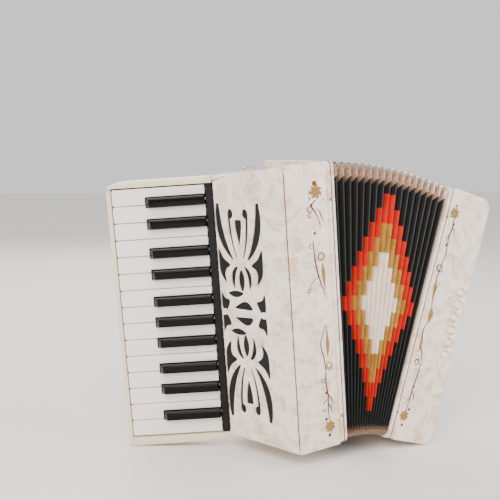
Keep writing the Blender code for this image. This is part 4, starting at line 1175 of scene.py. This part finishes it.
# %% Brackets and studs
LOOP_REACH = 9.2 * MM
LOOP_HALF = 6.2 * MM
LOOP_BEND = 3.0 * MM
WIRE = 1.25 * MM
WIRE_LIFT = 2.3 * MM
bracket_x = (FRAME_LEFT - 41.584 * MM) / 2 + 14.5 * MM
x = -bracket_x
for name, edge, way in (
    ("upper", HEIGHT - SHOULDER + 5.0 * MM - LOOP_REACH, 1), ("lower", 30 * MM, -1)
):
    low, high = sorted((edge, edge - way * 30 * MM))
    plate_line = rectangle((x - 12 * MM, low), (x + 12 * MM, high), 4 * MM, 8)
    parts = [slab([plate_line], 0.0003, 0.0018, TREBLE_BACK, 0.0004, 3)]
    tip = edge + way * (LOOP_REACH - 1.3 * MM)
    bend = tip - way * LOOP_BEND
    wire = [(x - LOOP_HALF, z, WIRE_LIFT) for z in (edge - way * 6 * MM, bend)]
    for a in (0.4, 0.8, 1.2, 1.57):
        across = x - LOOP_HALF + LOOP_BEND - LOOP_BEND * math.cos(a)
        wire.append((across, bend + way * LOOP_BEND * math.sin(a), WIRE_LIFT))
    wire += [(2 * x - px, pz, py) for px, pz, py in reversed(wire)]
    parts.append(tube(wire, WIRE, TREBLE_BACK, 14))
    for dx in (-8 * MM, 8 * MM):
        for dz in (low + 5 * MM, high - 5 * MM):
            spot = TREBLE_BACK @ Matrix.Translation((x + dx, dz, 1.7 * MM))
            parts += screw(spot @ Matrix.Rotation(dx * 90 + dz * 30, 4, "Z"), 2.0 * MM)
    add_piece(
        "strap_bracket_" + name + "_plate", gathered(*[(0, m) for m in parts]), "treble", NICKEL,
        ["strap_bracket_" + name],
    )
stud = [(-0.3, 1.9), (0.3, 1.9), (0.7, 1.6), (1.0, 1.1), (1.15, 0.5), (1.2, 0.05)]
stud = [(h * MM, r * MM) for h, r in stud]
for body, front, back, x, heights in (
    ("treble", TREBLE_FRONT, TREBLE_BACK, FRAME_LEFT + 3 * MM, (31 * MM, 257 * MM)),
    ("bass", BASS_FRONT, BASS_BACK, 4 * MM, (31 * MM, 250 * MM)),
):
    made = []
    for z in heights:
        for place, at in ((front, x), (back, -x)):
            made.append((0, lathe(stud, place @ Matrix.Translation((at, z, 0)), 24)))
    add_piece(body + "_frame_studs", gathered(*made), body, BRASS)
print("bracket middle at", round(bracket_x / MM, 1), "mm")


# %% Vines
def stroke(points, widths, place):
    """Thick painted stroke along a smooth line; points and widths in millimetres."""
    path = smooth_line(points, 8)
    radii = []
    for i in range(len(path)):
        share = i / (len(path) - 1) * (len(widths) - 1)
        n = min(int(share), len(widths) - 2)
        radii.append((widths[n] + (widths[n + 1] - widths[n]) * (share - n)) * 0.75 * MM)
    return tube([(p[0] * MM, p[1] * MM, 0.02 * MM) for p in path], radii, place, 10, 0.32)


def berry(centre, radius, place):
    """Low painted dome."""
    profile = [(-0.1, 1.0), (0.15, 0.97), (0.3, 0.82), (0.42, 0.5), (0.46, 0.05)]
    spot = place @ Matrix.Translation((centre[0] * MM, centre[1] * MM, 0))
    return lathe([(h * MM, r * radius * MM) for h, r in profile], spot, 24)


def ring(centre, radius, turns=1.0, width=0.9, start=0.0, shrink=0.0, place=None):
    """Tendril curled round its middle; shrink is the share of its radius lost on the way."""
    steps = int(18 * turns)
    points = []
    for i in range(steps + 1):
        angle = start + math.tau * turns * i / steps
        r = radius * (1 - shrink * i / steps)
        points.append((centre[0] + r * math.cos(angle), centre[1] + r * math.sin(angle)))
    return stroke(points, (width * 0.5, width, width, width * 0.5), place)


def petals(centre, radius, place, count=7):
    """Bent strokes from a flower's middle to the tips of its petals."""
    x, y = centre
    made = []
    for i in range(count):
        a = math.tau * i / count + 0.3
        bend = (x + radius * 0.6 * math.cos(a + 0.35), y + radius * 0.6 * math.sin(a + 0.35))
        tip = (x + radius * math.cos(a), y + radius * math.sin(a))
        made.append(stroke([centre, bend, tip], (1.2, 2.6, 0.4), place))
    return made


def painted(line, place):
    """A stroke starts with a list of points, a ring with its middle."""
    return (stroke if isinstance(line[0], list) else ring)(*line, place=place)


def add_vine(name, body, place, flowers, gold, brown, berries):
    """One vine: flowers and leaves in gold, stems in brown, berries in red."""
    parts = []
    for centre, radius, curl in flowers:
        parts += [(0, m) for m in petals(centre, radius, place)]
        parts.append((0, ring(centre, *curl, place=place)))
    parts += [(0, painted(line, place)) for line in gold]
    parts += [(1, painted(line, place)) for line in brown]
    parts += [(2, berry(centre, radius, place)) for centre, radius in berries]
    add_piece(name, gathered(*parts), body, [GOLD_PAINT, BROWN_PAINT, RED_PAINT], (), 60)


add_vine(
    "treble_vine_upper", "treble", TREBLE_FRONT,
    [((5.5, 266), 7.6, (5.2, 2.2, 1.0, 0.5, 0.75))],
    [
        ([(8.6, 194), (9.4, 186), (9.7, 178), (10.6, 166)], (0.4, 3.0, 2.2, 0.3)),
        ((7.8, 201), 4.7, 1.6, 1.0, 3.2, 0.5),
    ],
    [
        ([(5.5, 258), (-0.7, 253), (3.5, 246), (7.2, 238)], (0.6, 1.3, 1.0, 0.5)),
        ([(7, 249), (10, 243), (13, 235)], (0.4, 1.0, 0.4)),
        ([(6, 240), (8.5, 234), (8.2, 228)], (0.4, 0.9, 0.3)),
        ((-3, 249), 2.4, 0.8, 0.8, 1.2),
        ((-2.5, 243), 2.0, 0.8, 0.7, 0.6),
        ([(-3.5, 268), (-1.8, 266), (-4.5, 263)], (0.3, 0.9, 0.3)),
        ([(-3.8, 261), (-1.5, 260), (-4.2, 257)], (0.3, 0.9, 0.3)),
        ([(-0.9, 219), (0.3, 200), (3.7, 181), (12.1, 156)], (0.5, 1.1, 1.2, 0.4)),
        ((-3.2, 212.5), 2.2, 0.9, 0.7),
        ([(9.7, 178.6), (10.2, 172), (9.7, 166.5)], (0.8, 0.6, 0.3)),
        ((-7.6, 168), 2.0, 0.85, 0.7),
        ([(-7.6, 170), (-4, 176), (3.7, 181)], (0.3, 0.7, 0.5)),
    ],
    [((4.3, 274.5), 2.6), ((1.7, 225), 1.6), ((9.7, 178.6), 1.8), ((-0.7, 253), 1.7)],
)
add_vine(
    "treble_vine_lower", "treble", TREBLE_FRONT,
    [((7.5, 22.6), 6.4, (4.2, 2.0, 0.9, 0.2, 0.7))],
    [
        ([(9.0, 131), (9.8, 119), (9.8, 109), (9.2, 96)], (0.3, 1.6, 3.2, 0.4)),
        ((10.2, 87.4), 4.4, 1.6, 0.9, 3.0, 0.5),
    ],
    [
        ([(8.6, 130), (1.6, 112), (4.6, 96), (6.0, 84)], (0.3, 0.9, 0.9, 0.7)),
        ([(6.0, 84), (5.2, 70), (7.0, 56), (6.4, 42), (7.2, 30)], (0.7, 1.1, 1.1, 0.9, 0.5)),
        ((2.0, 72.6), 2.0, 0.85, 0.7),
        ((1.8, 41.9), 1.8, 0.85, 0.7, 2.0),
        ([(6.8, 58), (10.5, 52), (13.0, 45)], (0.4, 0.9, 0.3)),
        ([(6.6, 48), (9.5, 43), (11.2, 36)], (0.4, 0.9, 0.3)),
        ([(6.0, 52), (2.6, 50), (0.4, 46)], (0.4, 0.9, 0.3)),
    ],
    [((9.8, 109.2), 1.7), ((5.0, 59.2), 1.7), ((3.4, 31.4), 1.7), ((6.4, 13.6), 1.8)],
)
add_vine(
    "bass_vine", "bass", BASS_FRONT,
    [
        ((13.7, 256), 6.6, (4.4, 2.0, 0.9, 0.4, 0.7)),
        ((14.8, 28), 6.2, (4.0, 2.0, 0.9, 0.2, 0.7)),
    ],
    [
        ([(12.4, 181), (11.9, 173), (12.6, 160)], (0.5, 3.0, 0.4)),
        ([(14.6, 150), (15.9, 142), (15.2, 132)], (0.5, 5.0, 0.5)),
        ([(12.9, 117), (12.7, 109), (12.4, 99)], (0.4, 2.8, 0.4)),
    ],
    [
        ([(14.5, 249), (15.6, 240), (13.9, 229), (15.5, 214), (18.7, 203)], (0.8, 1.4, 1.1, 0.9, 0.4)),
        ([(15.8, 214), (13.8, 200), (11.9, 186), (11.6, 173)], (0.5, 0.9, 1.0, 0.8)),
        ([(15.2, 241), (18.6, 238), (20.4, 231)], (0.4, 1.0, 0.3)),
        ([(14.2, 232), (11.6, 228), (10.8, 222)], (0.4, 0.9, 0.3)),
        ((11.9, 193.7), 4.6, 1.4, 0.8, 2.4, 0.4),
        ([(18.4, 180), (14.6, 172), (13.2, 160), (14.4, 150)], (0.3, 1.0, 1.1, 0.7)),
        ([(15.2, 134), (11.2, 124), (12.8, 109), (17.8, 97), (19.4, 90)], (0.4, 1.1, 1.1, 0.9, 0.5)),
        ((13.6, 88), 3.6, 1.4, 0.8, 0.8, 0.4),
        ([(19.4, 90), (18.9, 74), (17.2, 60), (16.6, 46), (15.4, 34)], (0.5, 1.1, 1.2, 1.0, 0.6)),
        ([(17.2, 56), (20.6, 52), (22.2, 45)], (0.4, 0.9, 0.3)),
        ([(16.8, 48), (13.6, 45), (12.4, 39)], (0.4, 0.9, 0.3)),
    ],
    [
        ((15.9, 243.7), 1.8), ((13.2, 220), 1.7), ((11.9, 173), 1.7), ((16.9, 140.5), 1.6),
        ((12.7, 109.6), 1.5), ((17.8, 61.2), 1.6), ((19.6, 35.6), 1.6), ((15.0, 17.6), 1.7),
        ((14.0, 264.2), 1.5),
    ],
)
print("vines painted")

# %% [markdown]
# ## Inside
# The soundboards and reed blocks are spruce, and the keys turn on one long steel rod.

# %% Finishes of the inner pieces
for name, finish_of, slot in (
    ("treble_soundboard", SPRUCE, "wood"), ("treble_reed_block", SPRUCE, "wood"),
    ("bass_soundboard", SPRUCE, "wood"), ("bass_reed_block", SPRUCE, "wood"), ("key_axle", NICKEL, "steel"),
):
    nodes[name].data.materials.clear()
    nodes[name].data.materials.append(finish_of)
print("inner pieces finished")

# %% [markdown]
# ## The studio
# A pale floor, three large soft lights and a camera at the height of the keyboard's upper part.

# %% Floor, lights and camera
floor_paint, tree, shader, place = finish("studio_floor", Roughness=0.6)
shader.inputs["Base Color"].default_value = linear("#F2F0EC")
floor_mesh = bpy.data.meshes.new("floor")
floor_mesh.from_pydata([(-6, -6, 0), (6, -6, 0), (6, 6, 0), (-6, 6, 0)], [], [(0, 1, 2, 3)])
floor_mesh.materials.append(floor_paint)
floor = bpy.data.objects.new("studio_floor", floor_mesh)
bpy.context.scene.collection.objects.link(floor)
floor.location.z = measured_box[0].z


def soft_light(name, place, size, power, card):
    """Square area light facing the instrument."""
    lamp = bpy.data.lights.new(name, "AREA")
    lamp.size = size
    lamp.energy = power
    lamp.color = linear(card)[:3]
    thing = bpy.data.objects.new(name, lamp)
    bpy.context.scene.collection.objects.link(thing)
    thing.location = place
    thing.rotation_euler = (Vector((0, 0, 0.15)) - Vector(place)).to_track_quat("-Z", "Y").to_euler()


soft_light("key_light", (-0.9, -1.1, 1.4), 1.1, 40.0, "#FFF8F0")
soft_light("fill_light", (1.4, -1.0, 0.9), 1.4, 18.0, "#F4F8FF")
soft_light("back_light", (0.2, 1.5, 1.3), 1.2, 22.0, "#FFFFFF")
world = bpy.data.worlds.new("studio_air")
bpy.context.scene.world = world
world.use_nodes = True
world.node_tree.nodes["Background"].inputs["Color"].default_value = linear("#FFFFFF")
world.node_tree.nodes["Background"].inputs["Strength"].default_value = 0.95

yaw, pitch, roll = [math.radians(a) for a in (28.40, -8.95, -3.93)]
forward = Vector((math.sin(yaw) * math.cos(pitch), math.cos(yaw) * math.cos(pitch), math.sin(pitch)))
level = Vector((math.cos(yaw), -math.sin(yaw), 0))
above = level.cross(forward)
right = level * math.cos(roll) + above * math.sin(roll)
above = above * math.cos(roll) - level * math.sin(roll)
turn = Matrix((right, above, -forward)).transposed().to_4x4()
spot = Matrix.Translation((-438.86 * MM, FRONT - 677.89 * MM, 339.67 * MM))
camera = bpy.data.objects.new("studio_camera", bpy.data.cameras.new("studio_camera"))
bpy.context.scene.collection.objects.link(camera)
camera.data.lens = 59.11
camera.data.sensor_width = 36.0
camera.matrix_world = TREBLE @ spot @ turn
bpy.context.scene.camera = camera
print("camera at", [round(v, 3) for v in camera.matrix_world.translation])

# %% [markdown]
# ## Closing
# The size of the measured model is printed.

# %% Size of the measured model
print("measured", [round((b - a) / MM, 1) for a, b in zip(*measured_box)])
